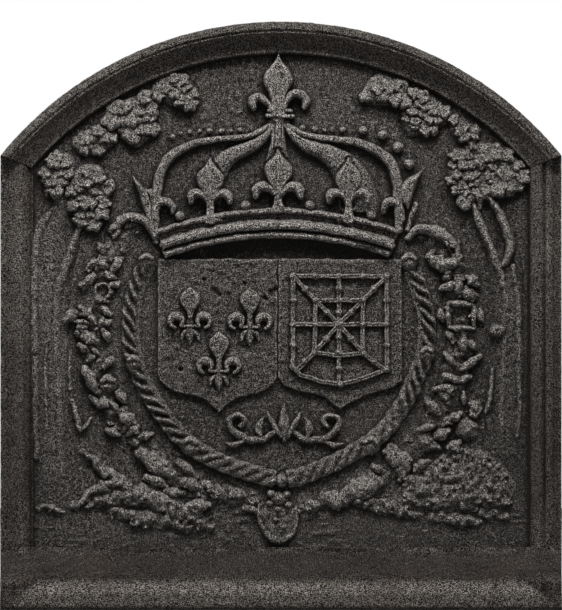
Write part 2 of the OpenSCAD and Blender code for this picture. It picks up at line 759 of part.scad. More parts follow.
// The cross: four arms in two stretches each, stopping short of square and border.
module chain_cross() {
    boss = chain_boss_d / 2 + seat_gap;
    knuckle = chain_knuckle_r + seat_gap;
    color(rubbed_iron) on_right_shield() {
        for (side = [-1, 1]) {
            bar([side * boss, 0], [side * (chain_square - chain_clear), 0],
                chain_bar_w, chain_relief);
            bar([side * (chain_square + chain_clear), 0], [side * (chain_half - knuckle), 0],
                chain_bar_w, chain_relief);
        }
        bar([0, boss], [0, square_top - chain_clear], chain_bar_w, chain_relief);
        bar([0, square_top + chain_clear], [0, chain_drop - knuckle], chain_bar_w, chain_relief);
        bar([0, -boss], [0, square_foot + chain_clear], chain_bar_w, chain_relief);
        bar([0, square_foot - chain_clear], [0, chain_foot_z - border_sag + chain_clear + 1],
            chain_bar_w, chain_relief);
    }
}

// The diagonals: from the boss to the square's corners and on towards the border.
module chain_diagonals() {
    boss = (chain_boss_d / 2 + chain_bar_w / 2) * 0.75;
    mitre = chain_clear + chain_bar_w * 0.7;
    past_knuckle = chain_knuckle_r + seat_gap + 0.5;
    color(rubbed_iron) on_right_shield() for (sx = [-1, 1]) {
        bar([sx * boss, boss], [sx * (chain_square - mitre), square_top - mitre],
            chain_bar_w, chain_relief);
        bar([sx * boss, -boss], [sx * (chain_square - mitre), square_foot + mitre],
            chain_bar_w, chain_relief);
        bar([sx * (chain_square + past_knuckle), square_top + past_knuckle],
            [sx * (chain_half - mitre - 2), chain_drop - mitre - 2], chain_bar_w, chain_relief);
        bar([sx * (chain_square + past_knuckle), square_foot - past_knuckle],
            [sx * (chain_half - border_corner + 2), chain_foot_z + border_corner - 2],
            chain_bar_w, chain_relief);
    }
}

module chain_square() {
    r = chain_square;
    color(rubbed_iron) on_right_shield() {
        for (side = [-1, 1])
            bar([side * r, square_foot], [side * r, square_top], chain_bar_w, chain_relief);
        for (z = [square_foot, square_top]) bar([-r, z], [r, z], chain_bar_w, chain_relief);
        for (x = [-r, r], z = [square_foot, square_top]) translate([x, z, 0])
            pearl(2 * chain_knuckle_r);
    }
}

module chain_boss() color(rubbed_iron) on_right_shield() rotate_extrude()
    polygon(concat([[0, 0]], oval([0, 0], chain_boss_d / 2, chain_relief * 1.5, 0, 90, 8)));

// ---- Collars --------------------------------------------------------------

function ring_point(rx, rz, a) = let (q = oval_point(rx, rz, a, ring_power))
    [arms_x + q[0], ring_z + q[1]];
// The outward direction of a ring at angle a.
function ring_out(rx, rz, a) = let (v = ring_point(rx, rz, a + 1) - ring_point(rx, rz, a - 1))
    [v[1], -v[0]] / norm(v);

// Shells sit on the cord at these angles, and the cord runs between them.
SHELL_ANGLES = [155, 188, 222];
shell_half = shell_d / 2 / cord_rx * 180 / PI + 0.9;
knob_half = asin(pow((shell_d / 2 + 1) / cord_rx, ring_power / 2));

// A twisted cord from angle a to b: its height swells along slanting turns.
module cord_run(a, b, side) {
    steps = round((b - a) / cord_pitch * 4);
    slant = cord_pitch * 0.35;
    points = [
        for (i = [0 : steps])
            let (t = a + (b - a) * i / steps)
            for (c = STRIP)
                let (end = min(1, min(i, steps - i) / 2),
                     t2 = t + slant * c[0] * end,
                     p = ring_point(cord_rx, cord_rz, t2),
                     o = ring_out(cord_rx, cord_rz, t2),
                     swell = 0.62 + 0.38 * abs(sin(180 * (t - a) / cord_pitch)),
                     w = cord_w / 2 * (0.85 + 0.15 * swell))
                [arms_x + side * (p[0] - arms_x + o[0] * w * c[0]), p[1] + o[1] * w * c[0],
                 cord_relief * c[1] * swell]
    ];
    if (side < 0) skin_of_rings(points, steps + 1, len(STRIP));
    else skin_of_rings([for (i = [steps : -1 : 0]) for (j = [0 : len(STRIP) - 1])
        points[i * len(STRIP) + j]], steps + 1, len(STRIP));
}
module cord_half(side) {
    color(rubbed_iron) on_face(field_y) {
        cord_run(SHELL_ANGLES[0] + shell_half, SHELL_ANGLES[1] - shell_half, -side);
        cord_run(SHELL_ANGLES[1] + shell_half, SHELL_ANGLES[2] - shell_half, -side);
        cord_run(SHELL_ANGLES[2] + shell_half, 270 - knob_half, -side);
    }
}
module cord_left() cord_half(-1);
module cord_right() cord_half(1);

module cord_shells() {
    color(rubbed_iron) for (side = [-1, 1], a = SHELL_ANGLES) {
        p = ring_point(cord_rx, cord_rz, a);
        on_face(field_y) translate([arms_x + side * (arms_x - p[0]), p[1], 0])
            rotate([0, 0, side * (180 - a)])
                cushion(lobed_edge(shell_d / 2, shell_d / 2, 7, 0.12, 21), shell_relief);
    }
}
module cord_knob() {
    p = ring_point(cord_rx, cord_rz, 270);
    color(rubbed_iron) on_face(field_y) translate([p[0], p[1], 0])
        cushion(lobed_edge(shell_d / 2, shell_d / 2 * 1.1, 4, 0.18, 16), shell_relief);
}

// The collar's links: leafy flowers and open square links take turns.
module collar_half(side) {
    first = 143;
    last = 261;
    step = (last - first) / (collar_links - 0.5);
    color(rubbed_iron) for (i = [0 : collar_links - 1]) {
        a = first + step * (i + 0.25);
        p = ring_point(collar_rx, collar_rz, a);
        o = ring_out(collar_rx, collar_rz, a);
        half_l = norm(ring_point(collar_rx, collar_rz, a + step / 2) - p) - seat_gap;
        on_face(field_y) translate([arms_x + side * (arms_x - p[0]), p[1], 0])
            rotate([0, 0, side > 0 ? 180 - atan2(o[1], o[0]) : atan2(o[1], o[0])])
                if (i % 2 == 0) cushion(lobed_edge(collar_w / 2, half_l, 6, 0.3, 18), collar_relief);
                else open_link(collar_w * 0.62, 2 * half_l - 1, collar_relief * 0.75);
    }
}
module open_link(w, l, h) {
    wall = 5;
    linear_extrude(h) difference() {
        square([w, l], center = true);
        square([w - 2 * wall, l - 2 * wall], center = true);
    }
}
module collar_left() collar_half(-1);
module collar_right() collar_half(1);

// The pendant: an open U-shaped medal hung from a leafy knot.
pendant_top_z = ring_z - collar_rz + 14;
module collar_pendant() {
    knot = 18;
    wall = 7;
    r = pendant_w / 2;
    color(rubbed_iron) on_arms(0, pendant_top_z) {
        translate([0, -knot / 2, 0])
            cushion(lobed_edge(knot / 2 + 2, knot / 2, 5, 0.15, 20), pendant_relief);
        translate([0, -knot - seat_gap, 0]) linear_extrude(pendant_relief * 0.8)
            difference() {
                medal_outline(r, pendant_h - knot);
                translate([0, -wall]) medal_outline(r - wall, pendant_h - knot - 2 * wall);
            }
    }
}
module medal_outline(r, h) {
    shoulder = h * 0.35;
    polygon(concat([[-r * 0.8, 0]], oval([0, -shoulder], r, h - shoulder, 180, 360, 18),
                   [[r * 0.8, 0]]));
}

// ---- Leaf scroll under the shields ----------------------------------------

scroll_drop = 20;
bud_drop = 8;
scroll_z = shield_top_z - shield_h - scroll_drop;
// One arm of the scroll, in shares of its length: it springs from the bud, dips
// and curls up at its end.
function scroll_path(side) = let (l = scroll_w / 2) smooth([
    for (q = [[0.19, 0.03, 0.033, 0.7], [0.34, -0.12, 0.043, 1], [0.62, -0.11, 0.045, 1],
              [0.86, 0.04, 0.045, 1], [0.84, 0.2, 0.04, 0.9], [0.66, 0.2, 0.035, 0.8],
              [0.64, 0.08, 0.037, 0.8]])
        [side * l * q[0], l * q[1], l * q[2], scroll_relief * q[3]]
], 3);
// The small leaf on each arm, in the same shares.
function scroll_leaf(side) = let (l = scroll_w / 2) smooth([
    [side * l * 0.6, l * 0.013, l * 0.027, scroll_relief * 0.6],
    [side * l * 0.5, l * 0.12, l * 0.053, scroll_relief * 0.8],
    [side * l * 0.4, l * 0.2, tip, scroll_relief * 0.3]
], 2);
module leaf_scroll() {
    color(rubbed_iron) for (side = [-1, 1]) on_arms(0, scroll_z) {
        strip(scroll_path(side));
        strip(scroll_leaf(side));
    }
}
// The side leaves of the bud, in shares of its height.
function bud_leaf(side) = smooth([
    [side * bud_h * 0.13, 0, bud_h * 0.043, scroll_relief * 0.6],
    [side * bud_h * 0.185, bud_h * 0.174, bud_h * 0.057, scroll_relief * 0.8],
    [side * bud_h * 0.304, bud_h * 0.45, bud_h * 0.07, scroll_relief * 0.9],
    [side * bud_h * 0.413, bud_h * 0.7, tip, scroll_relief * 0.3]
], 2);
module leaf_bud() {
    color(rubbed_iron) on_arms(0, scroll_z - bud_drop) {
        strip(petal(bud_h, bud_h * 0.152, bud_h * 0.065, scroll_relief));
        for (side = [-1, 1]) strip(bud_leaf(side));
    }
}

// ---- Trees and ground -----------------------------------------------------

// A trunk stands a named gap inside its side moulding and leans in at the top.
function trunk_path(side, w, h, foot_z, top_z, lean) = let (
    x = side * (field_x - trunk_gap - w / 2),
    l = top_z - foot_z
) smooth([
    [x, foot_z, w * 0.42, h * 0.7],
    [x, foot_z + l * 0.25, w * 0.46, h],
    [x, foot_z + l * 0.62, w * 0.5, h],
    [x - side * lean * 0.3, foot_z + l * 0.8, w * 0.42, h],
    [x - side * lean, top_z, w * 0.25, h * 0.8]
], 3);
trunk_foot_gap = 96;
right_trunk_foot_rise = 28;
left_trunk_top_drop = 84;
right_trunk_top_drop = 88;
left_trunk_lean = 20;
right_trunk_lean = 30;
trunk_foot_z = base_h + trunk_foot_gap;
function left_trunk_path() = trunk_path(
    -1, left_trunk_w, left_trunk_relief, trunk_foot_z,
    side_h - left_trunk_top_drop, left_trunk_lean);
function right_trunk_path() = trunk_path(
    1, right_trunk_w, right_trunk_relief, trunk_foot_z + right_trunk_foot_rise,
    side_h - right_trunk_top_drop, right_trunk_lean);
module left_trunk() color(iron) outside_collar() on_face(field_y) strip(left_trunk_path());
module right_trunk() color(iron) outside_collar() on_face(field_y) strip(right_trunk_path());

// Trees and ground lie round the outer collar and give way to it.
module outside_collar() {
    difference() {
        children();
        on_face(field_y) translate([0, 0, -1]) linear_extrude(rim_proud) polygon([
            for (a = [0 : 6 : 354])
                ring_point(collar_rx, collar_rz, a)
                + ring_out(collar_rx, collar_rz, a) * (collar_w / 2 + seat_gap)
        ]);
    }
}

// The leaves in the corners give way to the trunks, the crown's end leaves, and its
// outer arches with their pearls.
module outside_crown() {
    difference() {
        children();
        for (side = [-1, 1]) on_face(field_y) translate([0, 0, -1]) linear_extrude(rim_proud)
            strip_outline(outer_arch_path(side), arch_pearl_d + 2 * seat_gap);
        for (path = [end_leaf_path(-1), end_leaf_path(1), left_trunk_path(), right_trunk_path()])
            on_face(field_y) keep_clear(path);
    }
}

// A clump of leaves, in shares of a full clump's length: how far it stands from the
// frame's corner along the arch and in from the moulding, then its length and width.
corner_angle = asin(field_x / arch_inner_r);
module clump(side, plan, lobes, h) {
    away = plan[0] * leaf_span / arch_inner_r * 180 / PI;
    across = plan[3] * leaf_span;
    r = arch_inner_r - leaf_gap - across / 2 - plan[1] * leaf_span;
    on_face(field_y) translate([0, arch_cz, 0]) rotate([0, 0, -side * (corner_angle - away)])
        translate([0, r, 0])
            cushion(lobed_edge(plan[2] * leaf_span / 2, across / 2, lobes, 0.2, 27), h);
}
module left_top_leaves() color(iron) {
    clump(-1, [3.15, 0, 1, 0.7], 11, leaf_relief);
    clump(-1, [2.11, 0, 0.97, 0.97], 11, leaf_relief);
    clump(-1, [1.15, 0.03, 0.8, 0.7], 9, leaf_relief * 0.9);
}
module left_corner_leaves() color(iron) outside_crown() outside_collar() {
    clump(-1, [0.29, 0.06, 0.78, 0.76], 9, leaf_relief);
    clump(-1, [0.5, 0.88, 0.94, 0.94], 11, leaf_relief);
}
module right_top_leaves() color(iron) {
    clump(1, [3.18, 0, 1, 0.7], 11, leaf_relief);
    clump(1, [2.21, 0.03, 0.91, 0.85], 9, leaf_relief);
    clump(1, [1.41, 0.06, 0.62, 0.58], 7, leaf_relief * 0.9);
}
module right_corner_leaves() color(iron) outside_crown() outside_collar() {
    clump(1, [0.49, 0.06, 1.16, 0.9], 11, leaf_relief);
    clump(1, [0.75, 1.03, 0.48, 0.48], 5, leaf_relief * 0.8);
    clump(1, [0.05, 1, 0.54, 0.48], 5, leaf_relief * 0.8);
}

// A low bank follows the collar's lower left, and a bush fills the lower right.
bank_offset = 14;
bank_half_w = 11;
function bank_path() = [
    for (a = [214 : 4 : 246])
        let (p = ring_point(collar_rx, collar_rz, a), o = ring_out(collar_rx, collar_rz, a),
             reach = collar_w / 2 + bank_offset,
             w = a > 216 && a < 244 ? bank_half_w : bank_half_w / 2)
        [p[0] + o[0] * reach, p[1] + o[1] * reach, w, ground_relief]
];
module left_bank() color(iron) outside_collar() on_face(field_y) strip(bank_path());

bush_side_gap = 24;
bush_foot_gap = 12;
module right_bush() {
    color(iron) outside_collar() on_face(field_y)
        translate([field_x - bush_side_gap - bush_w / 2, base_h + bush_foot_gap + bush_h / 2, 0])
            cushion(lobed_edge(bush_w / 2, bush_h / 2, 11, 0.16, 33), ground_relief);
}

// ---- Nodes ----------------------------------------------------------------

back_plate();
arch_moulding();
left_moulding();
right_moulding();
base_moulding();
crown_finial();
crown_finial_collar();
crown_centre_arch();
crown_left_inner_arch();
crown_right_inner_arch();
crown_left_outer_arch();
crown_right_outer_arch();
crown_centre_fleuron();
crown_left_fleuron();
crown_right_fleuron();
crown_left_end_leaf();
crown_right_end_leaf();
crown_arch_pearls();
crown_band_pearls();
crown_band();
left_shield();
right_shield();
upper_left_fleur();
upper_right_fleur();
lower_fleur();
chain_border();
chain_cross();
chain_diagonals();
chain_square();
chain_boss();
cord_left();
cord_right();
cord_shells();
cord_knob();
collar_left();
collar_right();
collar_pendant();
leaf_scroll();
leaf_bud();
left_trunk();
right_trunk();
left_top_leaves();
left_corner_leaves();
right_top_leaves();
right_corner_leaves();
left_bank();
right_bush();
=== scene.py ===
"""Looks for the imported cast-iron fireback, built round its CAD solids.

Each ornament is drawn as heights over the casting's face and rebuilt as a closed,
rough-cast piece that stands for its CAD node. Drawings are in millimetres: x across,
z up, and h the height in front of the face. Meshes are in metres in the CAD frame,
with +Z up and the relief facing -Y.
"""

import logging
import math
from dataclasses import dataclass, field
from enum import Enum

import bpy
import numpy as np
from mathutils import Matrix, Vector


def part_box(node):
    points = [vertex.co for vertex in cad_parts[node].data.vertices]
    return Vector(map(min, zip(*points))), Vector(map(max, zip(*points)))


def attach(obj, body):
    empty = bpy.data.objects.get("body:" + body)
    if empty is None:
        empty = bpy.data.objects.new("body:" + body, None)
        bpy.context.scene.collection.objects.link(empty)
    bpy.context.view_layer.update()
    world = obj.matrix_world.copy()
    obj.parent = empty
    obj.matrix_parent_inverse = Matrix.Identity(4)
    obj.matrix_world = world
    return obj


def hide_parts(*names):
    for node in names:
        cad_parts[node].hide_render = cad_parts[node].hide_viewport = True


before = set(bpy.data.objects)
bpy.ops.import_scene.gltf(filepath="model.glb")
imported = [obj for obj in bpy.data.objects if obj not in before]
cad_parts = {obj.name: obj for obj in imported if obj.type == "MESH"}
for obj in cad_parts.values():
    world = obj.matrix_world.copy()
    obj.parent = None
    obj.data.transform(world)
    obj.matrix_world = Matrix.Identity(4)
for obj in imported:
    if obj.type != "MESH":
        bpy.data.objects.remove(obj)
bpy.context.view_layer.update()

LOG = logging.getLogger("fireback")

MM = 0.001
Array = np.ndarray
Stations = list[tuple[float, ...]]
Colour = tuple[float, float, float]

# Levels along Y in millimetres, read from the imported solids.
FIELD_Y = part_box("back_plate")[0].y / MM
BACK_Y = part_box("back_plate")[1].y / MM
SHIELD_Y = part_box("left_shield")[0].y / MM
PLATE_W = (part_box("back_plate")[1].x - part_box("back_plate")[0].x) / MM
PLATE_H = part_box("back_plate")[1].z / MM
RIM_PROUD = FIELD_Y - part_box("arch_moulding")[0].y / MM
BASE_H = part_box("base_moulding")[1].z / MM
SIDE_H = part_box("left_moulding")[1].z / MM
ARCH_R = ((PLATE_W / 2) ** 2 + (PLATE_H - SIDE_H) ** 2) / (2 * (PLATE_H - SIDE_H))
ARCH_CZ = PLATE_H - ARCH_R
# Widths of the arched moulding and of a side moulding.
FRAME_W = 41.0
SIDE_W = 40.0
# How far the frame stays behind the CAD's box in millimetres.
RIM_GAP = 0.15
# Path, half width and strength of each hollow along a limb or beside the frame, which sinks the
# field and is darkened with painted shade.
SHADED_HOLLOWS = (
    (((200, 532), (206, 510), (216, 492), (227, 480)), 5.0, 1.0),
    (((240, 488), (250, 462), (262, 430), (272, 402)), 2.4, 0.9),
    (((254, 497), (262, 480), (270, 462), (274, 446)), 4.2, 1.0),
    (((292, 470), (301, 420), (303, 360), (302, 290), (296, 215)), 1.5, 0.8),
    (((238, 292), (240, 330), (236, 352)), 1.4, 0.5),
    (((250, 205), (256, 225), (252, 250)), 1.6, 0.6),
    (((-301, 382), (-304, 345), (-302, 306)), 1.4, 0.8),
    (((-296, 236), (-289, 205), (-281, 172)), 1.8, 0.8),
    (((-253, 452), (-262, 420), (-266, 380)), 2.4, 0.7),
    (((-262, 520), (-280, 505), (-295, 480)), 2.2, 0.5))
# Centre x and z, reach in x and z, and how much brighter each weathered patch is.
WEATHER = (
    (0, 620, 210, 60, 0.085), (-205, 385, 55, 110, 0.1), (150, 590, 70, 50, 0.04),
    (-140, 150, 130, 45, 0.13), (110, 165, 120, 45, 0.08), (-230, 330, 35, 120, 0.06),
    (215, 300, 30, 120, 0.05), (185, 430, 40, 70, 0.07), (285, 300, 50, 170, -0.09),
    (-325, 430, 30, 100, 0.16), (-325, 200, 30, 120, -0.15), (330, 470, 30, 90, 0.12),
    (330, 190, 30, 120, -0.10), (-180, 100, 90, 30, 0.03), (-250, 590, 60, 50, 0.04))


class Profile(Enum):
    """How a carved stroke rises from its edge to its middle."""

    ROUND = "round"
    BOLD = "bold"
    FLAT = "flat"
    DOME = "dome"
    RIDGE = "ridge"

    def rise(self, u: Array) -> Array:
        """The share of full height at distance u, where 1 is the edge.

        Args:
            u: Distance from the middle line in half widths.

        Returns:
            1 - u^2 for round, 1 - u^4 for bold, 1 - u^8 for flat, (1 - u^2)^0.6 for a
            dome, which goes on as 1 - u^2 beyond its edge, and 1 - u for a ridge.
        """
        if self is Profile.BOLD:
            return 1 - u ** 4
        if self is Profile.FLAT:
            return 1 - np.minimum(u, 1.8) ** 8
        if self is Profile.RIDGE:
            return 1 - u
        low = 1 - u ** 2
        if self is Profile.DOME:
            return np.where(low > 0, np.maximum(low, 0) ** 0.6, low)
        return low


class Slot(Enum):
    """The record's material slots."""

    PLATE = "plate_iron"
    MOULDING = "moulding_iron"
    SHIELD = "shield_iron"
    RELIEF = "relief_iron"
    TREE = "tree_iron"


# ---- Curves and noise ----


def smooth(stations: Stations, steps: int = 6, closed: bool = False) -> Array:
    """The Catmull-Rom curve through some stations.

    Between b and c it is (2b + (c-a)t + (2a-5b+4c-d)t^2 + (3b-a-3c+d)t^3) / 2.

    Args:
        stations: Rows of x, z and any further values that are carried along.
        steps: Points made from each station to the next.
        closed: Whether the last station joins the first.

    Returns:
        The curve's points, with as many columns as the stations have.
    """
    p = np.asarray(stations, float)
    n = len(p)
    spans = n if closed else n - 1
    k = np.arange(spans)
    wrap = (lambda i: i % n) if closed else (lambda i: np.clip(i, 0, n - 1))
    a, b, c, d = (p[wrap(k + o)][:, None, :] for o in (-1, 0, 1, 2))
    t = (np.arange(steps) / steps)[None, :, None]
    curve = 0.5 * (2 * b + (c - a) * t + (2 * a - 5 * b + 4 * c - d) * t ** 2
                   + (3 * b - a - 3 * c + d) * t ** 3)
    curve = curve.reshape(-1, p.shape[1])
    return curve if closed else np.vstack([curve, p[-1:]])


def noise(x: Array, z: Array, size: float, seed: int) -> Array:
    """Smooth random values: a random lattice mixed with weights f^2 (3 - 2f).

    Args:
        x, z: Places across and up, in millimetres.
        size: Width of a lattice cell.
        seed: Picks the lattice.

    Returns:
        Values from -1 to 1, in the shape of x.
    """
    table = np.random.default_rng(seed).uniform(-1, 1, (256, 256))
    gx = np.asarray(x, float) / size + 31.7
    gz = np.asarray(z, float) / size + 17.3
    ix = np.floor(gx).astype(int)
    iz = np.floor(gz).astype(int)
    fx = (gx - ix) ** 2 * (3 - 2 * (gx - ix))
    fz = (gz - iz) ** 2 * (3 - 2 * (gz - iz))
    low = table[ix % 256, iz % 256] * (1 - fx) + table[(ix + 1) % 256, iz % 256] * fx
    high = (table[ix % 256, (iz + 1) % 256] * (1 - fx)
            + table[(ix + 1) % 256, (iz + 1) % 256] * fx)
    return low * (1 - fz) + high * fz


def sand_level(x: Array, z: Array) -> Array:
    """The uneven face that damp sand leaves: slow swells, lumps and grain.

    Args:
        x, z: Places across and up, in millimetres.

    Returns:
        Height in millimetres over the true face, the same for every piece.
    """
    lumps = noise(x + 0.4 * z, z - 0.4 * x, 7.5, 12)
    grain = noise(x - 0.7 * z, z + 0.7 * x, 3.6, 13)
    return (0.55 * noise(x, z, 74, 11) + 0.55 * lumps + 0.50 * grain + 0.34 * noise(x, z, 2.3, 14))


def nearest_on_path(x: Array, z: Array, path: Array) -> tuple[Array, Array]:
    """The distance to a path of straight pieces, and where along it that is.

    Args:
        x, z: Places across and up.
        path: Points of the path, with x and z in the first two columns.

    Returns:
        The distance, and the station number with its fraction.
    """
    a = path[:-1, :2]
    d = path[1:, :2] - a
    length2 = np.maximum((d ** 2).sum(1), 1e-9)
    px = x.ravel()[:, None] - a[:, 0]
    pz = z.ravel()[:, None] - a[:, 1]
    t = np.clip((px * d[:, 0] + pz * d[:, 1]) / length2, 0, 1)
    q = (px - t * d[:, 0]) ** 2 + (pz - t * d[:, 1]) ** 2
    k = q.argmin(1)
    row = np.arange(len(k))
    return np.sqrt(q[row, k]).reshape(x.shape), (k + t[row, k]).reshape(x.shape)


def depth_inside(x: Array, z: Array, outline: Array) -> Array:
    """The distance in from a closed outline, negative outside it.

    Args:
        x, z: Places across and up.
        outline: Points of the outline, without a repeated last point.

    Returns:
        Signed distance, whose sign comes from the parity of edges crossed.
    """
    ring = np.vstack([outline[:, :2], outline[:1, :2]])
    distance, _ = nearest_on_path(x, z, ring)
    x1, z1 = ring[:-1].T
    x2, z2 = ring[1:].T
    px = x.ravel()[:, None]
    pz = z.ravel()[:, None]
    slope = (x2 - x1) / np.where(np.abs(z2 - z1) < 1e-9, 1e-9, z2 - z1)
    crossed = ((z1 > pz) != (z2 > pz)) & (px < slope * (pz - z1) + x1)
    odd = crossed.sum(1) % 2 == 1
    return np.where(odd.reshape(x.shape), distance, -distance)


def weathering(x: Array, z: Array) -> Array:
    """Broad patches rubbed brighter (+) or left sootier (-).

    The sum of amount * exp(-((x - cx) / rx)^2 - ((z - cz) / rz)^2).

    Args:
        x, z: Places across and up, in millimetres.

    Returns:
        What is added to the wear there.
    """
    total = np.zeros(np.shape(x))
    for cx, cz, rx, rz, amount in WEATHER:
        total = total + amount * np.exp(-((x - cx) / rx) ** 2 - ((z - cz) / rz) ** 2)
    return total


def bell(v: Array, middle: float | Array, reach: float) -> Array:
    """A bell over one value: exp(-((v - middle) / reach)^2)."""
    return np.exp(-((v - middle) / reach) ** 2)


def smooth_max(a: Array, b: Array, k: float) -> Array:
    """The larger of two heights, with a fillet: max + (k - |a-b|)^2 / 4k near a tie."""
    near = np.maximum(k - np.abs(a - b), 0)
    return np.maximum(a, b) + near ** 2 / (4 * k)


def blurred(h: Array, reach: int) -> Array:
    """The mean of h over a square of 2 * reach + 1 samples, from running sums."""
    padded = np.pad(h, reach + 1, mode="edge")
    total = padded.cumsum(0).cumsum(1)
    n = 2 * reach + 1
    box = total[n:, n:] - total[:-n, n:] - total[n:, :-n] + total[:-n, :-n]
    return box[:h.shape[0], :h.shape[1]] / n ** 2


# Where detail feeds the colour, ridges come out lighter as rubbing and hollows darker as painted
# shade.
def detail(h: Array, reach: int) -> Array:
    """How far each sample stands over the mean of those round it."""
    return h - blurred(h, reach)


# ---- Meshes ----


def grid_faces(rows: int, cols: int) -> tuple[Array, Array]:
    """The quads of a grid of points, numbered row by row, and the loop round its edge.

    Args:
        rows: Rows of points.
        cols: Points in a row.

    Returns:
        Four vertex numbers for each quad, and the edge's vertex numbers in order.
    """
    i, j = np.meshgrid(np.arange(rows - 1), np.arange(cols - 1), indexing="ij")
    a = (i * cols + j).ravel()
    loop = np.concatenate([np.arange(cols), np.arange(1, rows) * cols + cols - 1,
                           (rows - 1) * cols + np.arange(cols - 2, -1, -1),
                           np.arange(rows - 2, 0, -1) * cols])
    return np.stack([a, a + 1, a + 1 + cols, a + cols], 1), loop


def mesh_piece(name: str, points: Array, quads: Array, caps: list[Array], wear_and_shading: Array,
               coarse: Array | None = None) -> bpy.types.Object:
    """Makes a smooth-shaded object from arrays.

    Args:
        name: The piece's name.
        points: Vertices in millimetres, one row each.
        quads: Four vertex numbers a row.
        caps: Larger polygons, such as a swept piece's two ends.
        wear_and_shading: How rubbed each vertex is, with painted light and shade, from 0 in a
            hollow or painted shade to 1 on a ridge or painted highlight.
        coarse: How strong the sand grain is at each vertex, 1 everywhere if left out.

    Returns:
        The linked object, with its place in its mesh.
    """
    mesh = bpy.data.meshes.new(name)
    mesh.vertices.add(len(points))
    mesh.vertices.foreach_set("co", (points * MM).astype(np.float32).ravel())
    corners = np.concatenate([quads.ravel(), *[np.asarray(c) for c in caps]])
    sizes = np.concatenate([np.full(len(quads), 4), [len(c) for c in caps]]).astype(int)
    mesh.loops.add(len(corners))
    mesh.loops.foreach_set("vertex_index", corners.astype(np.int32))
    mesh.polygons.add(len(sizes))
    starts = np.concatenate([[0], sizes.cumsum()[:-1]]).astype(np.int32)
    mesh.polygons.foreach_set("loop_start", starts)
    mesh.polygons.foreach_set("use_smooth", np.ones(len(sizes), bool))
    mesh.update(calc_edges=True)
    coarse = np.ones(len(points)) if coarse is None else coarse
    # The first attribute holds rubbing together with painted light and shade.
    for label, values in (("wear_and_shading", np.clip(wear_and_shading, 0, 1)), ("coarse", coarse)):
        layer = mesh.attributes.new(label, "FLOAT", "POINT")
        layer.data.foreach_set("value", values.astype(np.float32).ravel())
    piece = bpy.data.objects.new(name, mesh)
    bpy.context.scene.collection.objects.link(piece)
    return piece


def swept_piece(name: str, rings: Array, wear_and_shading: Array,
                coarse: Array | None = None) -> bpy.types.Object:
    """Joins closed rings of points into a solid with flat ends and its faces outward.

    Its signed volume is the sum of p0 . (p1 x p2) / 6 over its triangles. Where that
    comes out negative the rings ran the other way round, and the faces are turned over.

    Args:
        name: The piece's name.
        rings: Points in millimetres, as (ring, place round the ring, xyz).
        wear_and_shading: Rubbing with painted light and shade at each of those points.
        coarse: Strength of the sand grain at each of them.

    Returns:
        The object.
    """
    n, m, _ = rings.shape
    i, j = np.meshgrid(np.arange(n - 1), np.arange(m), indexing="ij")
    a = (i * m + j).ravel()
    b = (i * m + (j + 1) % m).ravel()
    quads = np.stack([a, b, b + m, a + m], 1)
    caps = [np.arange(m)[::-1], (n - 1) * m + np.arange(m)]
    points = rings.reshape(-1, 3)
    fans = [np.stack([np.full(m - 2, c[0]), c[1:-1], c[2:]], 1) for c in caps]
    p = points[np.concatenate([quads[:, :3], quads[:, [0, 2, 3]], *fans])]
    if (p[:, 0] * np.cross(p[:, 1], p[:, 2])).sum() < 0:
        quads = quads[:, ::-1]
        caps = [c[::-1] for c in caps]
    return mesh_piece(name, points, quads, caps, wear_and_shading, coarse)


@dataclass
class ShadeMap:
    """Where ornaments stand over the field, from which the painted shade beside them and the
    painted shadow below them follow.

    Attributes:
        pitch: Spacing of the map in millimetres.
        reach: How far from an ornament the painted shade reaches, in map cells.
        above: How much further the painted shadow reaches below an ornament than over it.
    """

    pitch: float = 2.0
    reach: int = 3
    above: float = 3.0
    heights: Array = field(init=False, repr=False)

    def __post_init__(self) -> None:
        """Starts with a bare field."""
        self.heights = np.zeros((int(PLATE_H / self.pitch) + 4, int(PLATE_W / self.pitch) + 4))

    def add(self, x: Array, z: Array, h: Array) -> None:
        """Marks an ornament's points, keeping the highest in each cell."""
        cols = np.clip(((x + PLATE_W / 2) / self.pitch).astype(int), 0, self.heights.shape[1] - 1)
        rows = np.clip((z / self.pitch).astype(int), 0, self.heights.shape[0] - 1)
        np.maximum.at(self.heights, (rows.ravel(), cols.ravel()), np.clip(h, 0, 12).ravel())

    def beside(self, x: Array, z: Array) -> Array:
        """The mean height of ornaments round a place on the face, mostly above it."""
        mean = blurred(self.heights, self.reach)
        c = np.clip((x + PLATE_W / 2) / self.pitch, 0, mean.shape[1] - 2)
        # Sampling above the place lets the painted shadow fall mostly below ornaments.
        r = np.clip((z + self.above) / self.pitch, 0, mean.shape[0] - 2)
        i, j = r.astype(int), c.astype(int)
        f, g = r - i, c - j
        return ((mean[i, j] * (1 - g) + mean[i, j + 1] * g) * (1 - f)
                + (mean[i + 1, j] * (1 - g) + mean[i + 1, j + 1] * g) * f)


# Ornament heights on the field and on the shields, from which the painted shade and shadow round
# them are taken.
ORNAMENT_SHADE = ShadeMap()
SHIELD_SHADE = ShadeMap(1.5, 2, 1.5)


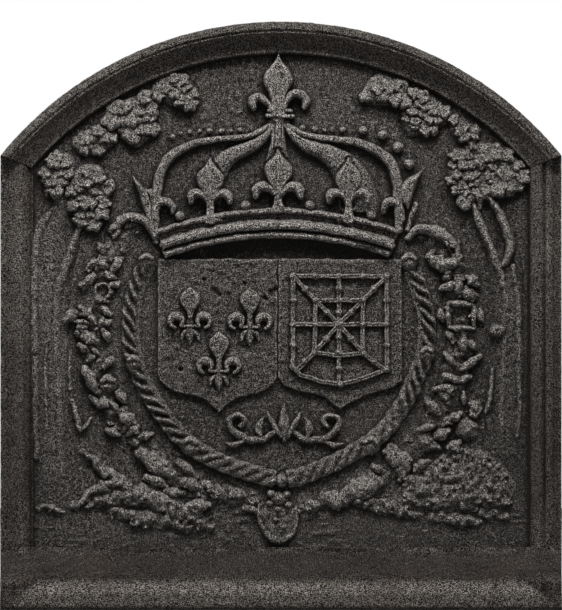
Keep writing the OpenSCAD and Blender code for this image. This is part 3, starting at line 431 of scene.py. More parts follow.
@dataclass
class Carving:
    """One carved ornament, drawn as heights over a grid of the casting's face.

    Attributes:
        name: The piece's name.
        node: The CAD node that the piece stands for.
        low: Left and lower corner of the grid.
        high: Right and upper corner of the grid.
        level: Y of the face that the ornament lies on.
        pitch: Spacing of the grid.
        ragged: How far the drawing's edges wander.
        lumps: Height of the worn unevenness on top of the ornament.
        slot: The record's material slot.
        foot_shade: How strongly painted shade darkens the foot of the ornament's edge.
    """

    name: str
    node: str
    low: tuple[float, float]
    high: tuple[float, float]
    level: float = FIELD_Y
    pitch: float = 0.9
    ragged: float = 0.8
    lumps: float = 0.5
    slot: Slot = Slot.RELIEF
    foot_shade: float = 0.34
    gx: Array = field(init=False, repr=False)
    gz: Array = field(init=False, repr=False)
    x: Array = field(init=False, repr=False)
    z: Array = field(init=False, repr=False)
    h: Array = field(init=False, repr=False)

    # Lowest height drawn, height of the lowest cells kept, depth of the underside, and
    # height that grid points start from, all in millimetres.
    SUNK = 1.6
    SKIRT = 0.9
    ROOT = 2.4
    BARE = -30.0
    # Wear with painted light and shade: at a mean place, by ridge (rubbed on ridges, painted shade
    # in hollows), by height and by weathered patch, height of the painted shade at the foot,
    # painted shade and light by upward slope, and painted shade by charges.
    WEAR = 0.46
    RIDGE_WEAR_HOLLOW_SHADE = 0.20
    CREST_WEAR = 0.022
    PATCH_WEAR = 0.7
    SHADED_FOOT_H = 2.6
    SLOPE_LIGHT_AND_SHADE = 0.14
    CHARGE_SHADE = 0.13

    def __post_init__(self) -> None:
        """Lays out the grid and the slightly bent copy that drawings are made on."""
        xs = np.arange(self.low[0], self.high[0] + self.pitch, self.pitch)
        zs = np.arange(self.low[1], self.high[1] + self.pitch, self.pitch)
        self.gx, self.gz = np.meshgrid(xs, zs)
        self.x = self.gx + self.ragged * noise(self.gx, self.gz, 8, 21)
        self.z = self.gz + self.ragged * noise(self.gx, self.gz, 8, 22)
        self.h = np.full(self.gx.shape, self.BARE)

    def window(self, x0: float, x1: float, z0: float, z1: float) -> tuple[slice, slice]:
        """The part of the grid inside a rectangle, as two slices."""
        c = np.clip([(x0 - self.low[0]) / self.pitch, (x1 - self.low[0]) / self.pitch + 2],
                    0, self.gx.shape[1]).astype(int)
        r = np.clip([(z0 - self.low[1]) / self.pitch, (z1 - self.low[1]) / self.pitch + 2],
                    0, self.gx.shape[0]).astype(int)
        return slice(r[0], r[1]), slice(c[0], c[1])

    def stroke(self, stations: Stations, profile: Profile = Profile.BOLD, blend: float = 1.2,
               steps: int = 5, cut: bool = False) -> "Carving":
        """Adds or cuts a stroke: height times profile(distance / half width).

        Args:
            stations: Rows of x, z, half width and height along the stroke's middle.
            profile: How the stroke rises from its edge.
            blend: Size of the fillet where it meets what is there.
            steps: Points made between stations.
            cut: Whether the stroke is a groove, taken away from what is there.

        Returns:
            The carving itself, so that calls can be chained.
        """
        path = smooth(stations, steps)
        path[:, 2] = np.maximum(path[:, 2], 0.3)
        reach = path[:, 2].max() * 2 + 3
        (x0, z0), (x1, z1) = path[:, :2].min(0) - reach, path[:, :2].max(0) + reach
        win = self.window(x0, x1, z0, z1)
        if self.x[win].size == 0:
            return self
        distance, station = nearest_on_path(self.x[win], self.z[win], path)
        at = np.arange(len(path))
        share = profile.rise(distance / np.interp(station, at, path[:, 2]))
        height = np.interp(station, at, path[:, 3]) * share
        if cut:
            self.h[win] -= np.maximum(height, 0)
        else:
            self.h[win] = smooth_max(self.h[win], height, blend)
        return self

    def groove(self, stations: Stations, profile: Profile = Profile.ROUND) -> "Carving":
        """Cuts a groove, as deep as a stroke of the same stations is high."""
        return self.stroke(stations, profile, cut=True)

    def swell(self, stations: Stations) -> "Carving":
        """Adds a stroke with a domed section."""
        return self.stroke(stations, Profile.DOME)

    def strokes(self, many: list[Stations], profile: Profile = Profile.BOLD,
                blend: float = 1.2) -> "Carving":
        """Adds several strokes that share a profile."""
        for stations in many:
            self.stroke(stations, profile, blend)
        return self

    def pillow(self, outline: Stations, height: float, roll: float, blend: float = 1.2,
               rounded: bool = True) -> "Carving":
        """Adds a flat-topped form: height times 1 - (1 - depth / roll)^2 up to the roll.

        Args:
            outline: Points of its closed edge.
            height: Height of its flat top.
            roll: Distance over which the edge rises.
            blend: Size of the fillet where it meets what is there.
            rounded: Whether the edge is the smooth curve through its points.

        Returns:
            The carving itself.
        """
        edge = smooth(outline, 5, closed=True) if rounded else np.asarray(outline, float)
        (x0, z0), (x1, z1) = edge[:, :2].min(0) - 6, edge[:, :2].max(0) + 6
        win = self.window(x0, x1, z0, z1)
        depth = depth_inside(self.x[win], self.z[win], edge) / roll
        share = np.where(depth < 0, 2 * depth, 1 - (1 - np.clip(depth, 0, 1)) ** 2)
        self.h[win] = smooth_max(self.h[win], height * share, blend)
        return self

    def dome(self, x: float, z: float, rx: float, rz: float, height: float,
             blend: float = 0.8) -> "Carving":
        """Adds a dome: height times 1 - (dx / rx)^2 - (dz / rz)^2."""
        reach = 2 * max(rx, rz) + 2
        win = self.window(x - reach, x + reach, z - reach, z + reach)
        u = ((self.x[win] - x) / rx) ** 2 + ((self.z[win] - z) / rz) ** 2
        self.h[win] = smooth_max(self.h[win], height * (1 - u), blend)
        return self

    def lobed(self, x: float, z: float, r: float, top: float, turn: float,
              phase: float) -> None:
        """Adds a lobed leaf that rises towards its tip and drops off beyond it.

        Its edge is r (1 + 0.10 cos(5 a + phase) + 0.09 cos(3 a - phase)) at angle a, and
        its height is top * (0.70 + 0.38 d / r) * (1 - u^5), where d is the distance
        towards the tip and u the distance from the middle in edge radii.

        Args:
            x, z: Its middle.
            r: Mean radius.
            top: Height near the tip.
            turn: Direction of the tip, in radians from straight down.
            phase: Turns the lobes.
        """
        win = self.window(x - 2 * r, x + 2 * r, z - 2 * r, z + 2 * r)
        dx, dz = self.x[win] - x, self.z[win] - z
        down = dx * math.sin(turn) - dz * math.cos(turn)
        angle = np.arctan2(dz, dx)
        edge = r * (1 + 0.10 * np.cos(5 * angle + phase) + 0.09 * np.cos(3 * angle - phase))
        lift = 0.70 + 0.38 * np.clip(down / r, -1.2, 1)
        form = top * lift * (1 - np.minimum(np.hypot(dx, dz) / edge, 1.6) ** 5)
        self.h[win] = smooth_max(self.h[win], form, 0.5)

    def foliage(self, outline: Stations, size: float, height: float, seed: int,
                lean: float) -> "Carving":
        """Fills an outline with overlapping lobed leaves on a jittered lattice.

        Args:
            outline: Edge of the clump.
            size: Mean radius of a leaf.
            height: Height of the clump.
            seed: Picks the jitter.
            lean: Direction in which the leaves hang, in degrees from straight down.

        Returns:
            The carving itself.
        """
        edge = smooth(outline, 5, closed=True)
        (x0, z0), (x1, z1) = edge[:, :2].min(0), edge[:, :2].max(0)
        step = size * 1.35
        rng = np.random.default_rng(seed)
        sx, sz = np.meshgrid(np.arange(x0, x1 + step, step), np.arange(z0, z1 + step, step * 0.8))
        sx[1::2] += step / 2
        sx = sx + rng.uniform(-0.28, 0.28, sx.shape) * step
        sz = sz + rng.uniform(-0.28, 0.28, sz.shape) * step
        inside = depth_inside(sx, sz, edge) > size * 0.3
        self.pillow(outline, height * 0.40, size)
        for x, z in zip(sx[inside], sz[inside]):
            self.lobed(x, z, size * rng.uniform(0.75, 1.2), height * rng.uniform(0.7, 1.08),
                       math.radians(lean) + rng.uniform(-0.6, 0.6), rng.uniform(0, 6.28))
        return self

    def tufts(self, count: int, size: float, height: float, seed: int) -> "Carving":
        """Scatters small lobed leaves over what is already raised.

        Args:
            count: Number of leaves.
            size: Mean radius of a leaf.
            height: How far a leaf stands over what it grows on.
            seed: Picks places and turns.

        Returns:
            The carving itself.
        """
        rng = np.random.default_rng(seed)
        rows, cols = np.nonzero(self.h > 1.2)
        for k in rng.integers(0, len(rows), count):
            r, c = rows[k], cols[k]
            self.lobed(self.gx[r, c], self.gz[r, c], size * rng.uniform(0.55, 1.3),
                       self.h[r, c] + height * rng.uniform(0.4, 1), rng.uniform(-0.9, 0.9),
                       rng.uniform(0, 6.28))
        return self

    def build(self) -> bpy.types.Object:
        """Turns the drawing into a closed piece rooted in the plate.

        Grid cells that stand above the skirt are kept. Their tops are at
        level - (h + sand level), their undersides lie flat inside the plate, and
        walls join the two along the edge.

        Returns:
            The piece, riding on the casting.
        """
        raised = np.clip(self.h / 3, 0, 1)
        h = self.h + self.lumps * raised * noise(self.gx, self.gz, 5.5, 23)
        h = np.maximum(h, -self.SUNK)
        (SHIELD_SHADE if self.level == SHIELD_Y else ORNAMENT_SHADE).add(self.gx, self.gz, h)
        keep = np.maximum.reduce([h[:-1, :-1], h[:-1, 1:], h[1:, :-1], h[1:, 1:]]) > -self.SKIRT
        rows, cols = np.nonzero(keep)
        width = h.shape[1]
        a = rows * width + cols
        tops = np.stack([a, a + 1, a + 1 + width, a + width], 1)
        used, flat = np.unique(tops, return_inverse=True)
        tops = flat.reshape(-1, 4)
        n = len(used)
        gx, gz = self.gx.ravel()[used], self.gz.ravel()[used]
        top_y = self.level - (h + sand_level(self.gx, self.gz)).ravel()[used]
        under_y = np.full(n, self.level + self.ROOT)
        points = np.concatenate([np.stack([gx, top_y, gz], 1), np.stack([gx, under_y, gz], 1)])
        edges = np.stack([tops, np.roll(tops, -1, 1)], 2).reshape(-1, 2)
        key = edges[:, 0] * (n + 1) + edges[:, 1]
        back = edges[:, 1] * (n + 1) + edges[:, 0]
        rim = edges[~np.isin(key, back)]
        walls = np.stack([rim[:, 1], rim[:, 0], rim[:, 0] + n, rim[:, 1] + n], 1)
        quads = np.concatenate([tops, tops[:, ::-1] + n, walls])
        piece = mesh_piece(self.name, points, quads, [],
                           np.concatenate([self.wear_and_shading(h).ravel()[used], np.zeros(n)]))
        return seat(piece, self.slot, self.node)

    def wear_and_shading(self, h: Array) -> Array:
        """How rubbed the ornament is, with painted light and shade: lighter on ridges, crests and
        upper flanks, darker in hollows, at its foot and on lower flanks.

        The mean plus shares of the detail, the height and the weathering, less the painted shade
        at the foot, less a share of the rise towards the top, which paints shade on flanks that
        face down, away from the overhead lamp, and light on flanks that face up, and on a shield
        less a share of the charges' height close by, as painted shade round them.

        Args:
            h: Heights over the grid.

        Returns:
            Rubbing with painted light and shade at each point of the grid.
        """
        soft = np.maximum(h, -0.5)
        wear_and_shading = (self.WEAR + self.RIDGE_WEAR_HOLLOW_SHADE * detail(soft, max(int(3.5 / self.pitch), 1))
                + self.CREST_WEAR * soft + self.PATCH_WEAR * weathering(self.gx, self.gz))
        # Painted shade at the foot, where the ornament meets the face.
        wear_and_shading = wear_and_shading - self.foot_shade * np.clip(1 - h / self.SHADED_FOOT_H, 0, 1)
        # Painted shade on flanks that face down, away from the overhead lamp, and painted light on
        # flanks that face up.
        rise = np.gradient(blurred(soft, 1), self.gz[1, 0] - self.gz[0, 0], axis=0)
        wear_and_shading = wear_and_shading - self.SLOPE_LIGHT_AND_SHADE * np.clip(rise, -1, 1)
        if self.slot is Slot.SHIELD:
            # Painted shade on the shield round its charges.
            wear_and_shading = wear_and_shading - self.CHARGE_SHADE * SHIELD_SHADE.beside(self.gx, self.gz)
        return wear_and_shading


def seat(piece: bpy.types.Object, slot: Slot, *nodes: str) -> bpy.types.Object:
    """Lets a piece ride on the casting, gives it its finish and hides its CAD nodes.

    Args:
        piece: The new piece.
        slot: The record's material slot.
        *nodes: CAD nodes that it stands for.

    Returns:
        The piece.
    """
    piece.data.materials.append(FINISHES[slot].material())
    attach(piece, "root")
    if nodes:
        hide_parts(*nodes)
    LOG.info("%s: %d vertices, stands for %s", piece.name, len(piece.data.vertices),
             ", ".join(nodes) or "no node")
    return piece


# ---- Finishes ----


@dataclass(frozen=True)
class CastIron:
    """Blackened cast iron with sooty pits, painted shade in its hollows and grey, rubbed ridges.

    Attributes:
        name: The material's name.
        soot_and_shade: Colour of the sooty pits between grains and of the painted shade in hollows
            and round ornaments.
        iron: Mean colour of the plain face.
        rubbed: Mean colour of what hands and brushes have worn, which also paints the highlights
            on upper flanks, ridges and lips.
        rust: Colour of the faint rust.
        rust_share: How much of the face the rust tints.
        grain: Size of the sand grain in millimetres.
        contrast: How sharply bright grains stand out from dark pits.
        bump: Height of the grain in millimetres.
        lumps: Height of the coarser unevenness in millimetres.
        gloss: Lowest roughness, on the grain's peaks.
        matt: Highest roughness, in the pits.
        mirror: Metallic share and specular level, low so that white light doesn't show.
        plain_gain: How many times the mean a grain's tip is, on dark and light blotches.
        rubbed_gain: The same on worn iron and on its crests.
    """

    name: str
    soot_and_shade: Colour = (0.0060, 0.0056, 0.0052)
    iron: Colour = (0.0412, 0.0374, 0.0344)
    rubbed: Colour = (0.114, 0.105, 0.097)
    rust: Colour = (0.064, 0.036, 0.026)
    rust_share: float = 0.18
    grain: float = 1.25
    contrast: float = 2.0
    bump: float = 3.0
    lumps: float = 1.0
    gloss: float = 0.45
    matt: float = 0.85
    mirror: float = 0.10
    plain_gain: tuple[float, float] = (3.0, 5.3)
    rubbed_gain: tuple[float, float] = (4.2, 6.6)

    def material(self) -> bpy.types.Material:
        """The node material, made once and then shared."""
        found = bpy.data.materials.get(self.name)
        return found or self.make()

    def make(self) -> bpy.types.Material:
        """Builds the node tree.

        Returns:
            A material whose colour goes from the sooty pits to iron or rubbed iron on the grains,
            by rubbing and painted light and shade, turning dark where painted shade lies and to
            the rubbed colours where painted highlights lie, and whose roughness and bump follow
            the same grain.
        """
        material = bpy.data.materials.new(self.name)
        material.use_nodes = True
        tree = material.node_tree
        nodes, link = tree.nodes, tree.links.new
        shader = nodes["Principled BSDF"]
        place = nodes.new("ShaderNodeTexCoord").outputs["Object"]

        def texture(size_mm: float, **sockets: float) -> bpy.types.NodeSocket:
            """3-D noise whose features are about size_mm across."""
            node = nodes.new("ShaderNodeTexNoise")
            node.inputs["Scale"].default_value = 1 / (size_mm * MM)
            for socket, value in sockets.items():
                node.inputs[socket].default_value = value
            link(place, node.inputs["Vector"])
            return node.outputs["Fac"]

        def attribute(name: str) -> bpy.types.NodeSocket:
            """A value stored at the mesh's points."""
            node = nodes.new("ShaderNodeAttribute")
            node.attribute_name = name
            return node.outputs["Fac"]

        def spread(source: bpy.types.NodeSocket, low: float, high: float,
                   out_low: float = 0.0, out_high: float = 1.0) -> bpy.types.NodeSocket:
            """Maps low..high of a value onto out_low..out_high, held at both ends."""
            node = nodes.new("ShaderNodeMapRange")
            for socket, value in zip(("From Min", "From Max", "To Min", "To Max"),
                                     (low, high, out_low, out_high)):
                node.inputs[socket].default_value = value
            link(source, node.inputs["Value"])
            return node.outputs["Result"]

        def mixed(share: bpy.types.NodeSocket, first: Colour | bpy.types.NodeSocket,
                  second: Colour | bpy.types.NodeSocket) -> bpy.types.NodeSocket:
            """A colour from first to second by share."""
            node = nodes.new("ShaderNodeMix")
            node.data_type = "RGBA"
            link(share, node.inputs["Factor"])
            for socket, value in ((node.inputs[6], first), (node.inputs[7], second)):
                if isinstance(value, tuple):
                    socket.default_value = (*value, 1)
                else:
                    link(value, socket)
            return node.outputs[2]

        def maths(operation: str, a: bpy.types.NodeSocket,
                  b: bpy.types.NodeSocket | float) -> bpy.types.NodeSocket:
            """One arithmetic step."""
            node = nodes.new("ShaderNodeMath")
            node.operation = operation
            link(a, node.inputs[0])
            if isinstance(b, float):
                node.inputs[1].default_value = b
            else:
                link(b, node.inputs[1])
            return node.outputs[0]

        wear_and_shading = attribute("wear_and_shading")
        fine = texture(self.grain, Detail=1.5, Roughness=0.6)
        fine = maths("MULTIPLY", maths("SUBTRACT", fine, 0.5), attribute("coarse"))
        lumps = texture(3.6, Detail=3.0, Roughness=0.6)
        blotch = texture(44, Detail=4.0, Roughness=0.65)
        stain = texture(85, Detail=5.0, Roughness=0.7)

        reach = 0.15 / self.contrast
        grain = maths("POWER", spread(fine, -reach, reach, 0.12, 1.0), 2.6)
        dark, pale = (tuple(gain * c for c in self.iron) for gain in self.plain_gain)
        worn, crest = (tuple(gain * c for c in self.rubbed) for gain in self.rubbed_gain)
        # Rubbed and crest colours come in where the attribute is high, on real rubbing and on
        # painted highlights.
        light = mixed(spread(wear_and_shading, 0.40, 0.72), mixed(spread(blotch, 0.30, 0.7), dark, pale), worn)
        light = mixed(spread(wear_and_shading, 0.70, 1.0), light, crest)
        light = mixed(spread(lumps, 0.36, 0.52, 0.55, 0.0), light, self.soot_and_shade)
        face = mixed(grain, self.soot_and_shade, light)
        # Painted shade: where the attribute is low, at feet, beside ornaments and the frame, in
        # hollows and on lower flanks, the face turns dark.
        face = mixed(spread(wear_and_shading, 0.05, 0.38, 0.85, 0.0), face, self.soot_and_shade)
        share = maths("MULTIPLY", spread(stain, 0.54, 0.72), self.rust_share)
        link(mixed(share, face, self.rust), shader.inputs["Base Color"])
        link(spread(fine, -0.12, 0.12, self.matt, self.gloss), shader.inputs["Roughness"])
        shader.inputs["Metallic"].default_value = self.mirror
        shader.inputs["Specular IOR Level"].default_value = self.mirror

        sand = maths("ADD", maths("MULTIPLY", fine, 2.4 * self.bump),
                     maths("MULTIPLY", lumps, 2.4 * self.lumps))
        bump = nodes.new("ShaderNodeBump")
        bump.inputs["Strength"].default_value = 1.0
        bump.inputs["Distance"].default_value = MM
        link(sand, bump.inputs["Height"])
        link(bump.outputs["Normal"], shader.inputs["Normal"])
        return material


# What the carvings of one kind share.
# The foot value of each kind sets how strongly painted shade darkens the foot of its edge.
SHIELD_CUT = {"pitch": 1.0, "slot": Slot.SHIELD, "foot_shade": 0.17}
COLLAR_CUT = {"pitch": 1.0, "ragged": 1.6, "lumps": 1.4, "foot_shade": 0.2}
TRUNK_CUT = {"pitch": 1.1, "ragged": 1.2, "lumps": 1.0, "slot": Slot.TREE}
GROUND_CUT = {"pitch": 1.1, "ragged": 2.8, "lumps": 2.6, "slot": Slot.TREE, "foot_shade": 0.04}

FINISHES: dict[Slot, CastIron] = {
    Slot.PLATE: CastIron("sand_cast_plate"),
    Slot.MOULDING: CastIron("struck_moulding", iron=(0.055, 0.0484, 0.0436),
                            rubbed=(0.104, 0.094, 0.085), rust_share=0.20, lumps=0.5),
    Slot.SHIELD: CastIron("shield_face"),
    Slot.RELIEF: CastIron("rubbed_relief", iron=(0.057, 0.052, 0.048),
                          rubbed=(0.143, 0.133, 0.124), lumps=0.7),
    Slot.TREE: CastIron("coarse_foliage", iron=(0.053, 0.0485, 0.0448),
                        rubbed=(0.145, 0.135, 0.126), lumps=0.8)}


# ---- Plate and frame ----


@dataclass
class Plate:
    """The arched plate: a slab with a rough back, and the skin of its field.

    The skin's edges, at skin_edge from the axis and skin_top_r from the arch's centre, lie under
    the frame, and its flat back lies skin_depth inside the slab. Its sand is calmer below calm_z
    and flecked below flecks_z, and its colour carries painted shade beside ornaments, mostly below
    them, beside the frame and in the hollows, and a painted shadow under the crown's band.
    """

    back_pitch: float = 4.6
    skin_pitch: float = 1.3
    strips: int = 3
    skin_edge: float = 313.0
    skin_top_r: float = 412.0
    skin_depth: float = 3.5
    back_swell: float = 1.1
    hollow_depth: float = 1.4
    calm_z: float = 84.0
    calm_reach: float = 60.0
    flecks_z: float = 132.0
    # Painted shade: strength beside ornaments, strength and width beside the frame, strength of
    # the painted shadow under the crown's band and of the shade in the hollows.
    ornament_shade: float = 0.115
    frame_shade: float = 0.8
    frame_shade_w: float = 3.0
    band_shadow: float = 0.4
    hollow_shade: float = 0.34

    def outline_top(self, x: Array, radius: float) -> Array:
        """Height of the arch over x: cz + sqrt(r^2 - x^2)."""
        return ARCH_CZ + np.sqrt(np.maximum(radius ** 2 - x ** 2, 0))

    def slab(self) -> bpy.types.Object:
        """The slab: a grid in u and v, with x = u * half width and z = v * arch top.

        Returns:
            The piece that stands for the plate.
        """
        n = int(PLATE_W / self.back_pitch)
        u, v = np.meshgrid(np.linspace(-1, 1, n), np.linspace(0, 1, n))
        x = u * (PLATE_W / 2 - 0.2)
        z = v * (self.outline_top(x, ARCH_R) - 0.3)
        rough = (0.5 * noise(x, z, 46, 31) + 0.3 * noise(x, z, 17, 32) + 0.2 * noise(x, z, 8, 33))
        back = BACK_Y - self.back_swell * (0.55 + 0.45 * rough)
        back = back - 1.6 * np.clip(1 - (1 - np.abs(u)) * n / 4, 0, 1) ** 2
        front = np.full(x.shape, FIELD_Y + 0.9)
        points = np.concatenate([np.stack([x, front, z], 2).reshape(-1, 3),
                                 np.stack([x, back, z], 2).reshape(-1, 3)])
        faces, loop = grid_faces(n, n)
        after = np.roll(loop, -1)
        walls = np.stack([after, loop, loop + n * n, after + n * n], 1)
        quads = np.concatenate([faces, faces[:, ::-1] + n * n, walls])
        wear_and_shading = np.concatenate([np.full(n * n, 0.3), (0.42 + 0.25 * rough).ravel()])
        piece = mesh_piece("casting_body", points, quads, [], wear_and_shading)
        return seat(piece, Slot.PLATE, "back_plate")

    def skin(self) -> None:
        """The rough field inside the frame, on a grid in u and v as the slab's is."""
        cols = int(2 * self.skin_edge / self.skin_pitch)
        rows = int((PLATE_H - 100) / self.skin_pitch * 0.9)
        u, v = np.meshgrid(np.linspace(-1, 1, cols), np.linspace(0, 1, rows))
        x = u * self.skin_edge
        foot = BASE_H - 3
        z = foot + v * (self.outline_top(x, self.skin_top_r) - foot)
        calm = np.clip((z - self.calm_z) / self.calm_reach, 0.35, 1)
        patch = noise(x, z, 88, 34) + 0.6 * np.exp(-((x - 150) / 80) ** 2 - ((z - 600) / 70) ** 2)
        level = sand_level(x, z) * (calm + 0.45 * patch) + self.dents(x, z)
        flecks = np.clip(noise(x, 2.6 * z, 10, 35) + 0.7 * noise(x, z, 45, 36) - 0.25, 0, 1)
        hollow = self.hollows(x, z)
        level = level + 1.6 * flecks * np.clip((self.flecks_z - z) / 14, 0, 1)
        level = level - self.hollow_depth * hollow
        frame_gap = np.minimum(ARCH_R - FRAME_W - np.hypot(x, z - ARCH_CZ),
                               PLATE_W / 2 - SIDE_W - np.abs(x))
        # Painted shade beside ornaments, mostly below them, and beside the frame, a painted shadow
        # under the crown's band, and painted shade in the hollows.
        soot_and_shade = (self.ornament_shade * ORNAMENT_SHADE.beside(x, z)
                + self.frame_shade * np.exp(-np.maximum(frame_gap, 0) / self.frame_shade_w))
        soot_and_shade = soot_and_shade + self.band_shadow * bell(z, 448, 12) * (np.abs(x) < 125)
        soot_and_shade = soot_and_shade + self.hollow_shade * hollow
        wear_and_shading = 0.44 + 0.3 * detail(level, 3) - soot_and_shade + weathering(x, z)
        top = np.stack([x, FIELD_Y - level, z], 2)
        bounds = np.linspace(0, rows - 1, self.strips + 1).astype(int)
        for k, (first, last) in enumerate(zip(bounds[:-1], bounds[1:])):
            self.strip(f"field_face_{k + 1}", top[first:last + 1], wear_and_shading[first:last + 1],
                       (0.75 * calm + 0.3 + 0.3 * patch)[first:last + 1])

    def hollows(self, x: Array, z: Array) -> Array:
        """Strength of the hollows, which sink the field and carry painted shade: the sum of
        strength * exp(-(gap / half width)^4).
        """
        total = np.zeros(x.shape)
        for path, half, strength in SHADED_HOLLOWS:
            line = smooth(path)
            low, high = line.min(0) - 3 * half, line.max(0) + 3 * half
            near = (x > low[0]) & (x < high[0]) & (z > low[1]) & (z < high[1])
            gap, _ = nearest_on_path(x[near], z[near], line)
            total[near] += strength * np.exp(-(gap / half) ** 4)
        return total

    def strip(self, name: str, top: Array, wear_and_shading: Array, coarse: Array) -> bpy.types.Object:
        """One strip of the skin, closed behind by a flat face inside the slab.

        Args:
            name: The piece's name.
            top: Points of its face, as (row, column, xyz).
            wear_and_shading: Rubbing with painted light and shade at those points.
            coarse: Strength of the sand grain at those points.

        Returns:
            The piece.
        """
        rows, cols, _ = top.shape
        top = top.reshape(-1, 3)
        faces, loop = grid_faces(rows, cols)
        under = top[loop].copy()
        under[:, 1] = FIELD_Y + self.skin_depth
        n = len(top)
        k = np.arange(len(loop))
        walls = np.stack([np.roll(loop, -1), loop, n + k, n + np.roll(k, -1)], 1)
        quads = np.concatenate([faces, walls])
        wear_and_shading = np.concatenate([wear_and_shading.ravel(), np.zeros(len(loop))])
        coarse = np.concatenate([coarse.ravel(), np.ones(len(loop))])
        piece = mesh_piece(name, np.concatenate([top, under]), quads, [n + k[::-1]], wear_and_shading, coarse)
        return seat(piece, Slot.PLATE)

    def dents(self, x: Array, z: Array) -> Array:
        """Shallow blow holes scattered over the field: -depth * exp(-(r / size)^2)."""
        total = np.zeros(x.shape)
        rng = np.random.default_rng(41)
        for cx, cz in rng.uniform((-300, 90), (300, 660), (46, 2)):
            size = rng.uniform(1.8, 4.2)
            total -= rng.uniform(0.5, 1.5) * np.exp(-((x - cx) ** 2 + (z - cz) ** 2) / size ** 2)
        return total

    def build(self) -> None:
        """Makes the slab and the skin."""
        self.slab()
        self.skin()


